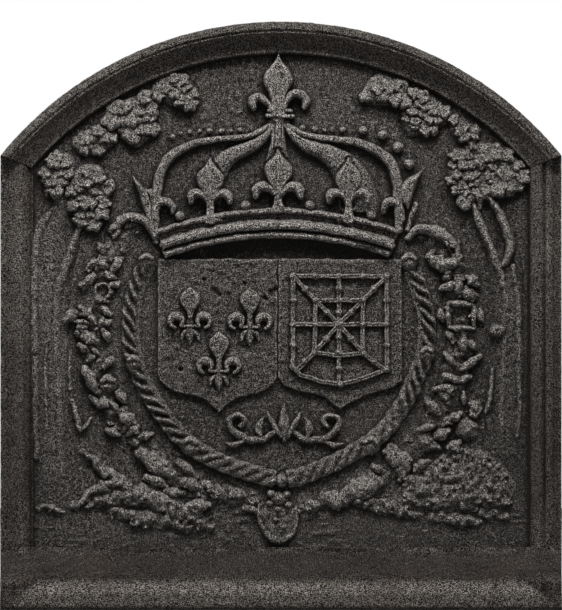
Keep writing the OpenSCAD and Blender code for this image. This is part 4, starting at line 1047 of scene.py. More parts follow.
@dataclass
class FrameMoulding:
    """The arched moulding, the two low side mouldings and the base with its foot.

    Attributes:
        root: How deep a moulding reaches into the slab.
        pitch: Spacing of rings along a moulding.
        foot_h: Height of the foot's upright face.
        slope_h: Height of the slope over it.
        base_proud: Height of the band in front of the field.
        nick_at: Place of the nick along the arch's edge, from the middle.
        crack_x: Place of the crack at the foot's lower edge.
        left_wear_and_shade: Rubbing at distances in from the left edge, with painted shade in the
            groove at its inner edge.
        right_wear_and_shade: Rubbing at distances in from the right edge, with painted shade in
            its groove and at its inner edge.
    """

    root: float = 1.6
    pitch: float = 1.4
    foot_h: float = 11.0
    slope_h: float = 26.0
    base_proud: float = 8.0
    nick_at: float = 64.0
    nick_depth: float = 2.2
    crack_x: float = -22.0
    crack_depth: float = 1.3
    crack_top: float = 44.0
    left_wear_and_shade: tuple = (
        (0, 0.34), (8, 0.36), (13, 0.4), (19, 0.42), (22, 0.47), (25, 0.52), (27, 0.5),
        (30, 0.39), (33, 0.36), (35.6, 0.34), (36.6, 0.1), (38.2, 0.06), (39.4, 0.26), (41, 0.42))
    right_wear_and_shade: tuple = (
        (0, 0.33), (6, 0.33), (11, 0.38), (15, 0.44), (18, 0.47), (19.6, 0.36), (21, 0.26),
        (22.6, 0.36), (26, 0.46), (30, 0.51), (34, 0.42), (37, 0.36), (38.6, 0.16), (40.4, 0.0),
        (42, 0.1))

    def arch_section(self) -> Array:
        """The arch's section as rows of distance in from the edge and height."""
        return smooth(
            [(0, -self.root), (0, 6), (0.2, 11.5), (1.2, 15.4), (3.4, 18.0), (6.2, 19.9),
            (8.8, 21.0), (10.4, 20.6), (11.8, 19.4), (12.8, 19.0), (14.4, 19.4), (16.0, 18.0),
            (17.8, 15.8), (20.5, 13.2), (24, 10.8), (28, 8.8), (32, 7.2), (35, 6.4), (36.6, 6.4),
            (38.2, 6.9), (39.6, 6.2), (40.6, 3.0), (41, -self.root)], 4)

    def streaks(self, along: Array, across: Array, seed: int) -> Array:
        """Faint drag marks that run along a moulding."""
        return (0.34 * noise(along / 5, across, 3.2, seed)
                + 0.30 * noise(along, across, 9, seed + 1)
                + 0.22 * noise(along, across, 3.4, seed + 2))

    def arch(self) -> bpy.types.Object:
        """The arched moulding: its section turned about the arch's centre.

        A point at radius r runs to the angle at which it meets the mitre, so x =
        r sin(angle) and z = centre + r cos(angle).

        Returns:
            The piece.
        """
        section = self.arch_section()
        inner_r = ARCH_R - FRAME_W
        edge_x = PLATE_W / 2 - SIDE_W
        outer_end = math.asin(PLATE_W / 2 / ARCH_R)
        inner_end = math.asin(edge_x / inner_r)
        radius = ARCH_R - section[:, 0]
        end = np.interp(radius, [inner_r, ARCH_R], [inner_end, outer_end])
        n = int(2 * outer_end * ARCH_R / self.pitch)
        turn = np.linspace(-1, 1, n)[:, None] * end[None, :]
        along = turn * ARCH_R
        across = np.broadcast_to(section[:, 0], turn.shape)
        marks = self.streaks(along, across, 51)
        silhouette = np.clip(1 - across / 5, 0, 1)
        chips = np.clip(noise(along, along * 0, 13, 57) - 0.45, 0, 1) * 2.6
        r = radius - silhouette * (0.35 + 0.35 * noise(along, across, 6, 55) + chips)
        nick = bell(along, self.nick_at, 5) * np.clip(1 - across / 22, 0, 1)
        h = section[:, 1] + np.where(section[:, 1] > 0, marks, 0) - self.nick_depth * nick
        h = np.minimum(h, RIM_PROUD - RIM_GAP)
        rings = np.stack([r * np.sin(turn), FIELD_Y - h, ARCH_CZ + r * np.cos(turn)], 2)
        # Brighter on the lip and its bead, which face up, as rubbing and, in patches, as painted
        # highlight; darker on the cavetto, which faces down, and darkest at the inner edge, as
        # painted shade.
        patches = 0.5 + noise(along, across, 23, 58)
        table = np.interp(across, [0, 2, 9, 12, 14.5, 18, 24, 33, 38, 40, 41], [0.50, 0.52, 0.52,
            0.46, 0.54, 0.51, 0.44, 0.36, 0.45, 0.3, 0.0])
        wear_and_shading = table + 0.10 * detail(h, 4) + 0.09 * patches * np.clip(2 - across / 9, 0, 1)
        wear_and_shading = wear_and_shading + 0.07 * noise(along / 9, across, 1.6, 59)
        coarse = np.interp(across, [0, 11, 14, 17, 20, 33, 36, 41], [1.6, 1.4, 1.4, 1.2, 0.9, 0.9,
            1.2, 1.2])
        piece = swept_piece("arched_frame", rings, wear_and_shading, coarse)
        return seat(piece, Slot.MOULDING, "arch_moulding")

    def side_heights(self, edge: Array, z: Array, side: int) -> Array:
        """Height of a side moulding.

        Args:
            edge: Distance in from the plate's edge.
            z: Height up the plate.
            side: -1 for the left one and 1 for the right one.

        Returns:
            A strip, a narrow ridge and a broad ridge, which die away near the foot.
        """
        if side > 0:
            rows = [(0, 8.6), (5.2, 8.9), (6.0, 8.0), (7.0, 8.9), (9.5, 8.4), (12, 10.4),
                    (15.5, 10.9), (18.5, 9.8), (20.5, 6.6), (22.5, 6.8), (26, 9.2),
                    (31, 9.7), (36, 8.0), (38.6, 4.6), (40, 1.2), (41.2, -1.6)]
        else:
            rows = [(0, 8.0), (5, 8.3), (9, 7.8), (12, 8.4), (16, 9.8), (20, 10.2), (25, 9.6),
                    (29, 7.6), (33, 5.6), (36, 3.4), (38.6, 1.6), (40, 0.6), (41.2, -1.6)]
        h = np.interp(edge, *zip(*rows))
        fade = np.clip((z - BASE_H) / 70, 0, 1)
        plain = np.interp(edge, [0, 30, 40, 41.2], [8.2, 7.4, 1.6, -1.6])
        return h * fade + plain * (1 - fade)

    def side(self, side: int) -> bpy.types.Object:
        """One side moulding: its section carried up from the base to the mitre.

        Args:
            side: -1 for the left one and 1 for the right one.

        Returns:
            The piece.
        """
        edge = np.concatenate([[0, 0], np.arange(0.4, 41.3, 0.85), [41.2]])
        inner_r = ARCH_R - FRAME_W
        mitre = ARCH_CZ + math.sqrt(inner_r ** 2 - (PLATE_W / 2 - SIDE_W) ** 2)
        top = np.interp(edge, [0, SIDE_W], [SIDE_H - 0.4, mitre - 0.4])
        n = int((SIDE_H - BASE_H) / self.pitch)
        v = np.linspace(0, 1, n)[:, None]
        z = (BASE_H - 3) + v * (top[None, :] - BASE_H + 3)
        e = np.broadcast_to(edge, z.shape)
        h = self.side_heights(e, z, side) + self.streaks(z, e, 61 + 10 * side)
        h = h + 0.5 * sand_level(side * (PLATE_W / 2 - e), z)
        h[:, 0] = -self.root
        h[:, -1] = -self.root
        ragged = np.where(e < 1, 0.12 + 0.12 * noise(z, e, 9, 65), 0)
        x = side * (PLATE_W / 2 - e - ragged)
        rings = np.stack([x, FIELD_Y - h, z], 2)
        if side < 0:
            rings = rings[:, ::-1]
            h = h[:, ::-1]
        rows = self.right_wear_and_shade if side > 0 else self.left_wear_and_shade
        e = e if side > 0 else e[:, ::-1]
        # The tables paint shade in the grooves and at the inner edge, with rubbing on the ridges.
        wear_and_shading = np.interp(e, *zip(*rows)) + 0.12 * detail(h, 4) + 0.06 * noise(e, z, 19, 66)
        wear_and_shading = wear_and_shading + weathering(side * (PLATE_W / 2 - e), z)
        hand = "left" if side < 0 else "right"
        piece = swept_piece(f"{hand}_frame", rings, wear_and_shading, np.full(h.shape, 1.7))
        return seat(piece, Slot.MOULDING, f"{hand}_moulding")

    def base_heights(self, x: Array, z: Array) -> Array:
        """Height of the base: band, wavy upper edge, foot slope and its two returns.

        Args:
            x, z: Places across and up.

        Returns:
            The largest of the band, the sloped foot and the returns at its ends.
        """
        wave = 2.2 * noise(x, z * 0, 34, 71) + 1.2 * noise(x, z * 0, 9, 72)
        band = np.where(z < BASE_H - 5 + wave, self.base_proud,
                        self.base_proud - 1.5 * (z - BASE_H + 5 - wave))
        top = self.foot_h + self.slope_h
        foot = RIM_PROUD - 0.6 - (z - self.foot_h - 1.5) * (RIM_PROUD - 8.6) / self.slope_h
        foot = np.minimum(foot, RIM_PROUD - 0.4)
        crease = 0.9 * bell(z - self.foot_h, 1.0, 1.3)
        rounding = np.clip(1 - z / 6, 0, 1) ** 2 * 5.5
        end = np.clip((np.abs(x) - (PLATE_W / 2 - 50)) / 38, 0, 1)
        rise = self.base_proud + (RIM_PROUD - 5 - self.base_proud) * end
        fade = np.clip((top + 12 - z) / 16, 0, 1)
        returns = self.base_proud + (rise - self.base_proud) * fade ** 2 * (3 - 2 * fade)
        h = smooth_max(smooth_max(band, foot - crease, 1.6), returns, 1.6)
        crack = bell(x - self.crack_x, 0.06 * z, 1.1) * np.clip((self.crack_top - z) / 8, 0, 1)
        return np.minimum(h - rounding - self.crack_depth * crack, RIM_PROUD - RIM_GAP)

    def base(self) -> bpy.types.Object:
        """The base: its section, carried across the plate as rings in y and z.

        Returns:
            The piece.
        """
        z = np.concatenate([[0], np.geomspace(0.6, 4, 5), np.arange(5, BASE_H + 0.3, 1.2)])
        z[-1] = BASE_H - 0.1
        n = int(PLATE_W / self.pitch)
        x = np.linspace(-PLATE_W / 2 + 0.1, PLATE_W / 2 - 0.1, n)[:, None]
        gx, gz = np.broadcast_arrays(x, z[None, :])
        marks = 0.7 * self.streaks(gx, gz, 81) + 0.35 * sand_level(gx, gz)
        mottle = 0.8 * noise(gx, gz * 0.3, 4.2, 85) * bell(gz, 25, 12)
        h = np.minimum(self.base_heights(gx, gz) + marks + mottle, RIM_PROUD - 0.1)
        front = np.stack([gx, FIELD_Y - h, gz], 2)
        back_y = np.full((n, 1), FIELD_Y + self.root)
        high = np.stack([x, back_y, np.full((n, 1), BASE_H - 0.1)], 2)
        low = np.stack([x, back_y, np.zeros((n, 1))], 2)
        rings = np.concatenate([front, high, low], 1)[:, ::-1]
        # Painted highlight on the foot's slope, which faces up to the lamp, as far as the mitres;
        # beyond them, below 50 mm, the ends are darker.
        slope = np.interp(gz, [0, 3, 6, 9, 12, 15, 18, 21, 24, 28, 31, 34, 37, 40], [-0.05, 0.0,
            0.1, 0.2, 0.2, 0.14, 0.26, 0.44, 0.56, 0.56, 0.46, 0.32, 0.12, -0.06])
        mitre = np.clip((340 - np.abs(gx) - 1.2 * (gz - 9)) / 7, 0, 1)
        wear_and_shading = 0.40 + 0.12 * detail(h, 4) + slope * mitre - 0.10 * (1 - mitre) * (gz < 50)
        wear_and_shading = wear_and_shading + 0.22 * noise(gx, gz * 0.3, 5, 87) * bell(gz, 24, 12)
        # Painted highlight in flecks along the band's upper edge, a ledge that faces up.
        flecks = np.clip(noise(gx, gz * 2, 9, 86) + noise(gx, gz, 31, 88), -0.4, 1)
        wear_and_shading = wear_and_shading + 0.35 * flecks * bell(gz - BASE_H, -3.5, 3.5)
        wear_and_shading = np.concatenate([wear_and_shading, np.zeros((n, 2))], 1)[:, ::-1]
        coarse = np.interp(gz, [0, 14, 30, 40, 50, 66, 72, 80], [1, 1.6, 1.6, 0.6, 0.3, 0.4, 0.9,
            1])
        coarse = np.concatenate([coarse, np.ones((n, 2))], 1)[:, ::-1]
        piece = swept_piece("base_frame", rings, wear_and_shading, coarse)
        return seat(piece, Slot.MOULDING, "base_moulding")

    def build(self) -> None:
        """Makes the four lengths of the frame."""
        self.arch()
        self.side(-1)
        self.side(1)
        self.base()


# ---- Crown ----


@dataclass(frozen=True)
class Fleur:
    """A three-leaved fleur: an almond-shaped petal and two leaves that curl over.

    Attributes:
        x: Place of its axis.
        z: Height that the other places are counted from.
        petal: Height and half width at each station, from the foot to the tip.
        curl: The right leaf as rows of distance from the axis, height and half width.
        relief: Height in front of the face.
        left_curl: The left leaf where it differs from the right one.
    """

    x: float
    z: float
    petal: tuple[tuple[float, float], ...]
    curl: tuple[tuple[float, float, float], ...]
    relief: float
    left_curl: tuple[tuple[float, float, float], ...] = ()

    def draw(self, carving: "Carving") -> "Carving":
        """Draws the whole fleur on a carving: leaves first, then the petal over them.

        Args:
            carving: The carving to draw on.

        Returns:
            The carving.
        """
        h = self.relief
        for side, curl in ((1, self.curl), (-1, self.left_curl or self.curl)):
            rows = [(self.x + side * dx, self.z + dz, w, h * 0.92) for dx, dz, w in curl]
            carving.stroke(rows, Profile.DOME, 1)
            dx, dz, w = curl[-2]
            carving.dome(self.x + side * dx, self.z + dz, w * 1.1, w * 1.1, h)
        rows = [(self.x, self.z + dz, w, h * (0.9 if w > 5 else 0.78)) for dz, w in self.petal]
        carving.stroke(rows, Profile.FLAT, 0.8)
        widest = max(self.petal, key=lambda row: row[1])
        tip = self.petal[-1]
        carving.stroke(
            [(self.x, self.z + self.petal[0][0], 2, h * 0.9),
             (self.x, self.z + widest[0], widest[1] * 0.45, h * 1.08),
             (self.x, self.z + tip[0] - 3, 1, h * 0.7)], Profile.RIDGE, 1.6)
        return carving


@dataclass
class Crown:
    """A closed crown: a railed band, five arches, fleurons, pearls and a finial.

    The band is bowed about (axis, band_cz), and band_r is its upper edge. Fleurons are
    drawn drawn_h high and scaled, and fleurons_at has the name, axis, foot, top and half
    width of each.
    """

    axis: float = -4.0
    band_cz: float = 54.0
    band_r: float = 447.0
    relief: float = 12.5
    arch_relief: float = 9.5
    drawn_h: float = 73.5
    curl: tuple[tuple[float, float, float], ...] = (
        (4, -9, 4), (9, -3.5, 5.4), (16, -0.5, 6.8), (23, -1.5, 7.2), (27, -6, 6.4),
        (28, -12, 4.2))
    fleurons_at: tuple[tuple[str, float, float, float, float], ...] = (
        ("centre", -3.4, 500, 574, 18.4), ("left", -88.4, 487, 563, 17.8),
        ("right", 84.2, 488, 563, 17))

    def rib(self, name: str, low: tuple[float, float], high: tuple[float, float],
            stations: Stations, grooves: tuple[Stations, ...] = ()) -> None:
        """Makes one arch of the crown, with grooves cut into it.

        Args:
            name: The piece's name.
            low: Left and lower corner of its grid.
            high: Right and upper corner.
            stations: Rows of x, z, half width and share of the ribs' relief.
            grooves: Rows of x, z, half width and depth of each groove.
        """
        piece = Carving(name, f"crown_{name}", low, high)
        piece.stroke([(x, z, w, self.arch_relief * share) for x, z, w, share in stations])
        for row in self.fleurons_at:
            x, z, half = row[1], row[3] - (row[3] - row[2]) / self.drawn_h * 26.5, row[4]
            piece.groove(
                [(x, z - 28, half * 0.5 + 2.5, 4.5), (x, z - 10, half * 0.85 + 2.5, 4.5),
                (x, z, half + 2.5, 4.5), (x, z + 12, half * 0.75 + 2.5, 4.5),
                (x, z + 24, half * 0.3 + 1.5, 4.5)], Profile.BOLD)
        for groove in grooves:
            piece.groove(groove)
        piece.build()

    def arches(self) -> None:
        """The five ribs that run from the hub down to the band."""
        self.rib("left_outer_arch", (-174, 466), (-8, 616), [
            (-14, 604, 4.4, 1), (-25, 597, 4.2, 1), (-40, 591, 3.8, 0.8),
            (-64, 588, 3.8, 0.7), (-90, 585.6, 4.2, 0.75), (-110, 581, 5, 0.85),
            (-128, 572, 6, 1), (-143, 559, 6.6, 1), (-151, 541, 6.8, 1),
            (-155, 517, 6.8, 1), (-157, 496, 6.2, 1), (-158, 474, 6, 1)])
        self.rib("right_outer_arch", (2, 466), (166, 616), [
            (8, 604, 4.4, 1), (22, 596, 4.4, 1), (46, 589, 4.2, 0.85),
            (75, 586, 5, 0.8), (101, 581, 6, 0.85), (121, 571, 7, 1),
            (137, 557, 7.4, 1), (144, 538, 7.2, 1), (146, 516, 6.6, 1),
            (147, 494, 6, 1), (147, 474, 5.6, 1)])
        self.rib("left_inner_arch", (-118, 506), (-4, 612), [
            (-11, 603, 3.4, 1), (-21, 589, 6, 1), (-36, 578.5, 8, 1.05),
            (-55, 570.5, 9.6, 1), (-70, 560, 12, 0.85), (-80, 545, 13.5, 0.75),
            (-86, 524, 14, 0.6), (-88, 500, 12, 0.35)],
            ([(-36, 587.5, 1, 2.5), (-66, 577, 1, 2.5), (-92, 561, 1, 2)],))
        self.rib("right_inner_arch", (-2, 496), (124, 612), [
            (7, 603, 3.4, 1), (17.5, 589.5, 6.4, 1), (33, 579, 9.4, 1.05),
            (53, 571, 12, 1), (71, 560, 16, 0.9), (84, 544, 21, 0.8),
            (93, 527, 25, 0.7), (97, 508, 25, 0.55), (98, 496, 24, 0.35)],
            ([(40, 588.5, 1, 2.5), (70, 580, 1, 2.5), (100, 566, 1.2, 3),
              (110, 545, 1.2, 2.5)],))
        self.rib("centre_arch", (-28, 556), (20, 616), [
            (-4, 609, 10, 1.1), (-4, 592, 9.4, 1.1), (-4, 577, 11.5, 1),
            (-4, 560, 15.5, 0.7)],
            ([(-7.5, 606, 0.9, 2.4), (-8, 588, 1, 2.4), (-9.5, 574, 1, 2)],
             [(0, 606, 0.9, 2.4), (0.5, 588, 1, 2.4), (2, 574, 1, 2)]))

    def finial(self) -> None:
        """The tall fleur on top, and its two-ringed collar over the hub."""
        piece = Carving("finial", "crown_finial", (-54, 606), (48, 698), pitch=0.8)
        Fleur(-3.6, 623, ((-2, 10.4), (8, 9.6), (15, 9.8), (24, 13.6), (31, 17.6), (38, 19.4),
                          (46, 17.2), (54, 11.6), (61, 5), (68.5, 1.2)),
              ((7, 2, 4), (11, 13, 5), (17, 19, 5.4), (24.5, 21, 5.8), (32, 17, 5.8),
               (35, 9.5, 5.6), (33, 3, 3.4)), self.relief,
              ((8, 2, 4), (12, 8, 4.6), (18, 13.5, 5.4), (25, 16, 6.4), (30.5, 12, 7),
               (31.5, 8, 6.4), (30, 3, 4))).draw(piece)
        piece.build()
        collar = Carving("finial_collar", "crown_finial_collar", (-28, 600), (22, 634), pitch=0.8)
        collar.stroke([(-15, 622.5, 3, 10.5), (12, 622.5, 3, 10.5)])
        collar.stroke([(-17, 616.5, 3.2, 13), (14, 616, 3.2, 13)])
        collar.stroke([(-3, 609, 14, 8), (-3, 604, 15, 8)])
        collar.groove([(-18, 612, 1.6, 5), (15, 611.6, 1.6, 5)])
        collar.build()

    def fleurons(self) -> None:
        """The three fleurons that stand on the band."""
        h = self.relief
        side_curl = tuple((dx * 0.86, dz * 0.95, w * 0.9) for dx, dz, w in self.curl)
        for name, x, foot, top, half in self.fleurons_at:
            curl = self.curl if name == "centre" else side_curl
            piece = Carving(f"{name}_fleuron", f"crown_{name}_fleuron",
                            (x - 42, foot - 6), (x + 42, top + 6), pitch=0.8)
            span = (top - foot) / self.drawn_h
            petal = (
                (0, 9), (5 * span, 6.4), (13 * span, 5), (20 * span, 5.4),
                (31 * span, half * 0.60), (40 * span, half * 0.90), (47 * span, half),
                (54.5 * span, half * 0.92), (62 * span, half * 0.52), (69 * span, half * 0.18),
                (self.drawn_h * span, 0.9))
            lift = 28 if name == "centre" else 33
            shifted = tuple((dx, lift + dz, w) for dx, dz, w in curl)
            Fleur(x, foot, petal, shifted, h).draw(piece)
            piece.stroke([(x - 13, foot - 1, 3, h * 0.6), (x + 13, foot - 1, 3, h * 0.6)])
            piece.build()

    def end_leaves(self) -> None:
        """The half leaves and hooks at both ends of the band."""
        left = Carving("left_end_leaf", "crown_left_end_leaf", (-196, 460), (-128, 552), pitch=0.8)
        left.pillow([(-186, 544), (-176, 534), (-167, 526), (-160, 524), (-158, 506), (-158, 488),
                     (-161, 470), (-168, 486), (-174, 504), (-180, 524)], 9.5, 5)
        left.groove([(-185, 543, 1.1, 3.5), (-172, 528, 1.2, 3.5), (-163, 511, 1.3, 3.5),
                     (-161, 486, 1, 3)])
        left.swell([(-160, 488, 3.6, 9), (-158, 500, 4.6, 10), (-151, 508, 5.6, 11.5),
                     (-142, 509, 5.8, 11.5), (-136, 503, 4.8, 10), (-135, 497, 3.4, 8)])
        left.build()
        right = Carving("right_end_leaf", "crown_right_end_leaf", (118, 460), (188, 558),
                        pitch=0.8)
        right.pillow([(177, 547), (164, 542), (153, 535), (148, 524), (149, 512), (155, 502),
                      (160, 500), (166, 520)], 10, 6)
        right.groove(
            [(176, 545, 1.2, 7), (166, 512, 1.6, 8), (159, 486, 1.6, 8), (156, 468, 1.4, 7)])
        right.stroke([(168, 506, 3.4, 4), (163, 490, 3.4, 4.5), (158, 474, 3, 4)])
        right.swell([(151, 486, 3.6, 9), (149, 500, 4.6, 10), (143, 508, 5.8, 11.5),
                      (134, 508, 6, 11.5), (129, 502, 5, 10), (128, 496, 3.4, 8)])
        right.build()

    def pearls(self) -> None:
        """Pearls along the outer arches and on the band."""
        arch = Carving("arch_pearls", "crown_arch_pearls", (-152, 540), (176, 616), pitch=0.8,
                       ragged=0.4)
        for x, z, r in (
                (-135, 590, 4), (-125, 594, 3), (-114, 596, 3.4), (-101, 597, 3),
                (-89, 597.5, 4.4), (-74, 597, 4.2), (-62, 597, 3), (-51, 598.5, 3.8),
                (27, 601, 4.2), (42, 599.5, 4.6), (54, 598, 3.2), (64, 599, 4), (77, 599, 4.6),
                (102, 598, 6.2), (127, 592, 6.8), (146, 577, 7.6), (160, 556, 7.2)):
            arch.dome(x, z, r, r, r * 1.5)
        arch.build()
        band = Carving("band_pearls", "crown_band_pearls", (-142, 474), (128, 518), pitch=0.8,
                       ragged=0.4)
        for x, z in ((-44, 504), (36, 504), (-126, 491), (113, 492)):
            band.dome(x, z, 6.8, 7, 11)
        band.build()

    def band(self) -> None:
        """The bowed band: rails as a function of the depth below its upper edge."""
        piece = Carving("crown_band", "crown_band", (-172, 418), (166, 508), ragged=0.8, lumps=0.9)
        dx = piece.x - self.axis
        dz = piece.z - self.band_cz
        depth = self.band_r - np.hypot(dx, dz)
        rails = np.asarray(
            [(-2, -8), (0, 3), (1.5, 8), (4, 9.4), (6.5, 8), (8, 4.2), (13.5, 3.8), (16, 8.5),
            (18.5, 13.2), (22.5, 14.4), (25.5, 12.8), (27.4, 6), (29, 5.4), (31, 10.4), (34, 12),
            (36.4, 9.8), (37.6, 4), (38.4, -8), (44, -30)])
        h = np.interp(depth, rails[:, 0], rails[:, 1])
        chipped = np.exp(-((piece.x - 108) / 15) ** 2 - ((piece.z - 449) / 6) ** 2)
        torn = 1.8 * noise(piece.gx, piece.gz, 7, 91)
        angle = np.degrees(np.arctan2(dx, dz))
        left = (angle + 20.2) * 7.8 + torn
        right = (20.0 - angle) * 7.8 + torn
        piece.h = np.minimum(h - 6.5 * chipped, 4.0 * np.minimum(left, right))
        piece.build()

    def build(self) -> None:
        """Makes the crown's pieces from the band up."""
        self.band()
        self.arches()
        self.fleurons()
        self.end_leaves()
        self.pearls()
        self.finial()


# ---- Shields ----


@dataclass
class Shields:
    """Two shields side by side, with three fleurs and a net of chains."""

    proud: float = FIELD_Y - SHIELD_Y
    fleur_relief: float = 8.5
    chain_relief: float = 5.2
    bar: float = 3.3
    curl_r: float = 7.4

    def faces(self) -> None:
        """The two shield faces, with worn blow holes on the left one."""
        left = Carving("left_shield_face", "left_shield", (-160, 240), (2, 444),
                       **SHIELD_CUT, lumps=0.9)
        left.pillow(
            [(-154, 438), (-154, 293), (-151, 285), (-144, 278), (-132, 271), (-107, 266),
            (-95, 261), (-85, 253), (-77, 245), (-70, 253), (-62, 259), (-51, 265), (-32, 269),
            (-20, 273), (-9, 281), (-4.3, 289), (-4.3, 438)], self.proud, 1.4, rounded=False)
        for x, z, r in ((-84, 399, 5.5), (-78, 394, 4.2), (-97, 413, 3.4), (-12, 396, 5),
                        (-20, 389, 4), (-7, 400, 4), (-46, 408, 2.6), (-126, 300, 3)):
            left.groove([(x, z, r, 3), (x + 1, z - 1, r, 3)])
        for x0, z0, x1, z1 in ((-26, 368, -8, 360), (-28, 352, -10, 344), (-20, 382, -7, 386)):
            left.swell([(x0, z0, 3, 5.2), (x1, z1, 2.4, 5)])
        left.build()
        right = Carving("right_shield_face", "right_shield", (-10, 244), (158, 444),
                        **SHIELD_CUT, lumps=0.7)
        right.pillow(
            [(-3.7, 438), (-3.7, 289), (2, 280), (17, 273), (42, 269), (55, 264), (65, 256),
            (74, 250), (84, 256), (92, 261), (111, 269), (130, 274), (142, 278), (151, 286),
            (151, 438)], self.proud, 1.4, rounded=False)
        right.build()

    def fleurs(self) -> None:
        """The three fleurs, each with open curls, a bar and a three-pointed tail."""
        h = self.fleur_relief
        petal = ((-36, 3.4), (-31, 4.8), (-25, 9.2), (-19, 12.4), (-13, 13.2), (-7.5, 10.4),
                 (-2.5, 4.6), (0, 1.2))
        turns = ((-128, 2.4), (-95, 3.4), (-60, 4.8), (-25, 6), (10, 6.2), (45, 5.4),
                 (85, 4.2), (125, 3), (165, 2.2))
        ring = tuple((17.2 + self.curl_r * math.sin(math.radians(a)),
                      -43.5 + self.curl_r * math.cos(math.radians(a)), w) for a, w in turns)
        for name, x, tip, faint in (
                ("upper_left", -113.4, 402.5, 0.75), ("upper_right", -38.8, 401.5, 1),
                ("lower", -77.4, 346.5, 1)):
            piece = Carving(f"{name}_fleur_relief", f"{name}_fleur", (x - 36, tip - 88),
                            (x + 36, tip + 6), SHIELD_Y, pitch=0.8, ragged=0.4, lumps=0.4)
            Fleur(x, tip, petal, ring, h).draw(piece)
            bar, low = tip - 49, h * faint
            piece.swell([(x, tip - 34, 3.4, low * 0.7), (x, bar, 4.4, low * 0.7)])
            piece.stroke([(x - 9, bar, 2.2, low * 0.8), (x + 9, bar, 2.2, low * 0.8)])
            piece.swell([(x, bar - 2, 4.4, low * 0.7), (x, bar - 13, 5.8, low * 0.75),
                          (x, bar - 24, 0.9, low * 0.3)])
            for side in (-1, 1):
                piece.swell([(x + side * 3, bar - 4, 2.6, low * 0.6),
                              (x + side * 8.5, bar - 9, 3.4, low * 0.7),
                              (x + side * 10.5, bar - 16, 2, low * 0.5)])
            piece.build()

    def chains(self) -> None:
        """The chain net: double-edged bars, with a knuckle wherever two of them meet."""
        h, w = self.chain_relief, self.bar

        def net(name: str, node: str, bars: Stations, knuckles: Stations) -> None:
            """Draws bars given by their two ends, and knuckles."""
            piece = Carving(name, node, (4, 272), (144, 426), SHIELD_Y, pitch=0.7,
                            ragged=0.5, lumps=0.3)
            for x0, z0, x1, z1 in bars:
                piece.stroke([(x0, z0, w, h), (x1, z1, w, h)], Profile.BOLD, 0.5)
            for x0, z0, x1, z1 in bars:
                piece.groove([(x0, z0, 1, 1.5), (x1, z1, 1, 1.5)])
            for x, z in knuckles:
                piece.dome(x, z, w * 1.6, w * 1.6, h * 1.45)
            piece.build()

        net("chain_edge", "chain_border",
            [(15, 416, 132, 416), (15, 416, 15, 303), (132, 416, 132, 300), (15, 303, 24, 293),
             (24, 293, 49, 285), (49, 285, 74, 281), (74, 281, 101, 288), (101, 288, 132, 300)],
            [(15, 416), (72, 416), (132, 416), (15, 356), (132, 356), (15, 303), (132, 300),
             (74, 281), (15, 386), (15, 330), (132, 386), (132, 330), (43, 416), (102, 416)])
        net("chain_cross_bars", "chain_cross", [
            (72.4, 416, 72.4, 281), (15, 356, 132, 356)], [(72.4, 386), (72.4, 321), (43, 356),
            (102, 356), (72.4, 401), (72.4, 371), (72.4, 340), (72.4, 301)])
        net("chain_slants", "chain_diagonals",
            [(18, 413, 43, 386), (129, 413, 102, 386), (42, 321, 19, 298), (102, 320, 128, 300),
             (43, 386, 72, 356), (102, 386, 72, 356), (72, 356, 42, 321), (72, 356, 102, 321)],
            [(57, 371), (88, 371), (57, 338), (87, 338), (30, 400), (116, 400), (30, 310),
             (116, 310)])
        net("chain_inner_square", "chain_square", [
            (43, 386, 102, 386), (102, 386, 102, 320), (42, 321, 72, 317), (72, 317, 102, 320),
            (43, 386, 42, 321)], [(43, 386), (102, 386), (102, 320), (42, 321)])
        boss = Carving("chain_centre", "chain_boss", (56, 340), (90, 374), SHIELD_Y, pitch=0.7,
                       ragged=0.4, lumps=0.2)
        boss.dome(72.4, 356.2, 7.4, 7.4, 7.6)
        boss.build()

    def build(self) -> None:
        """Makes the charges, and then the faces, which carry painted shade round them."""
        self.fleurs()
        self.chains()
        self.faces()


# ---- Collars ----


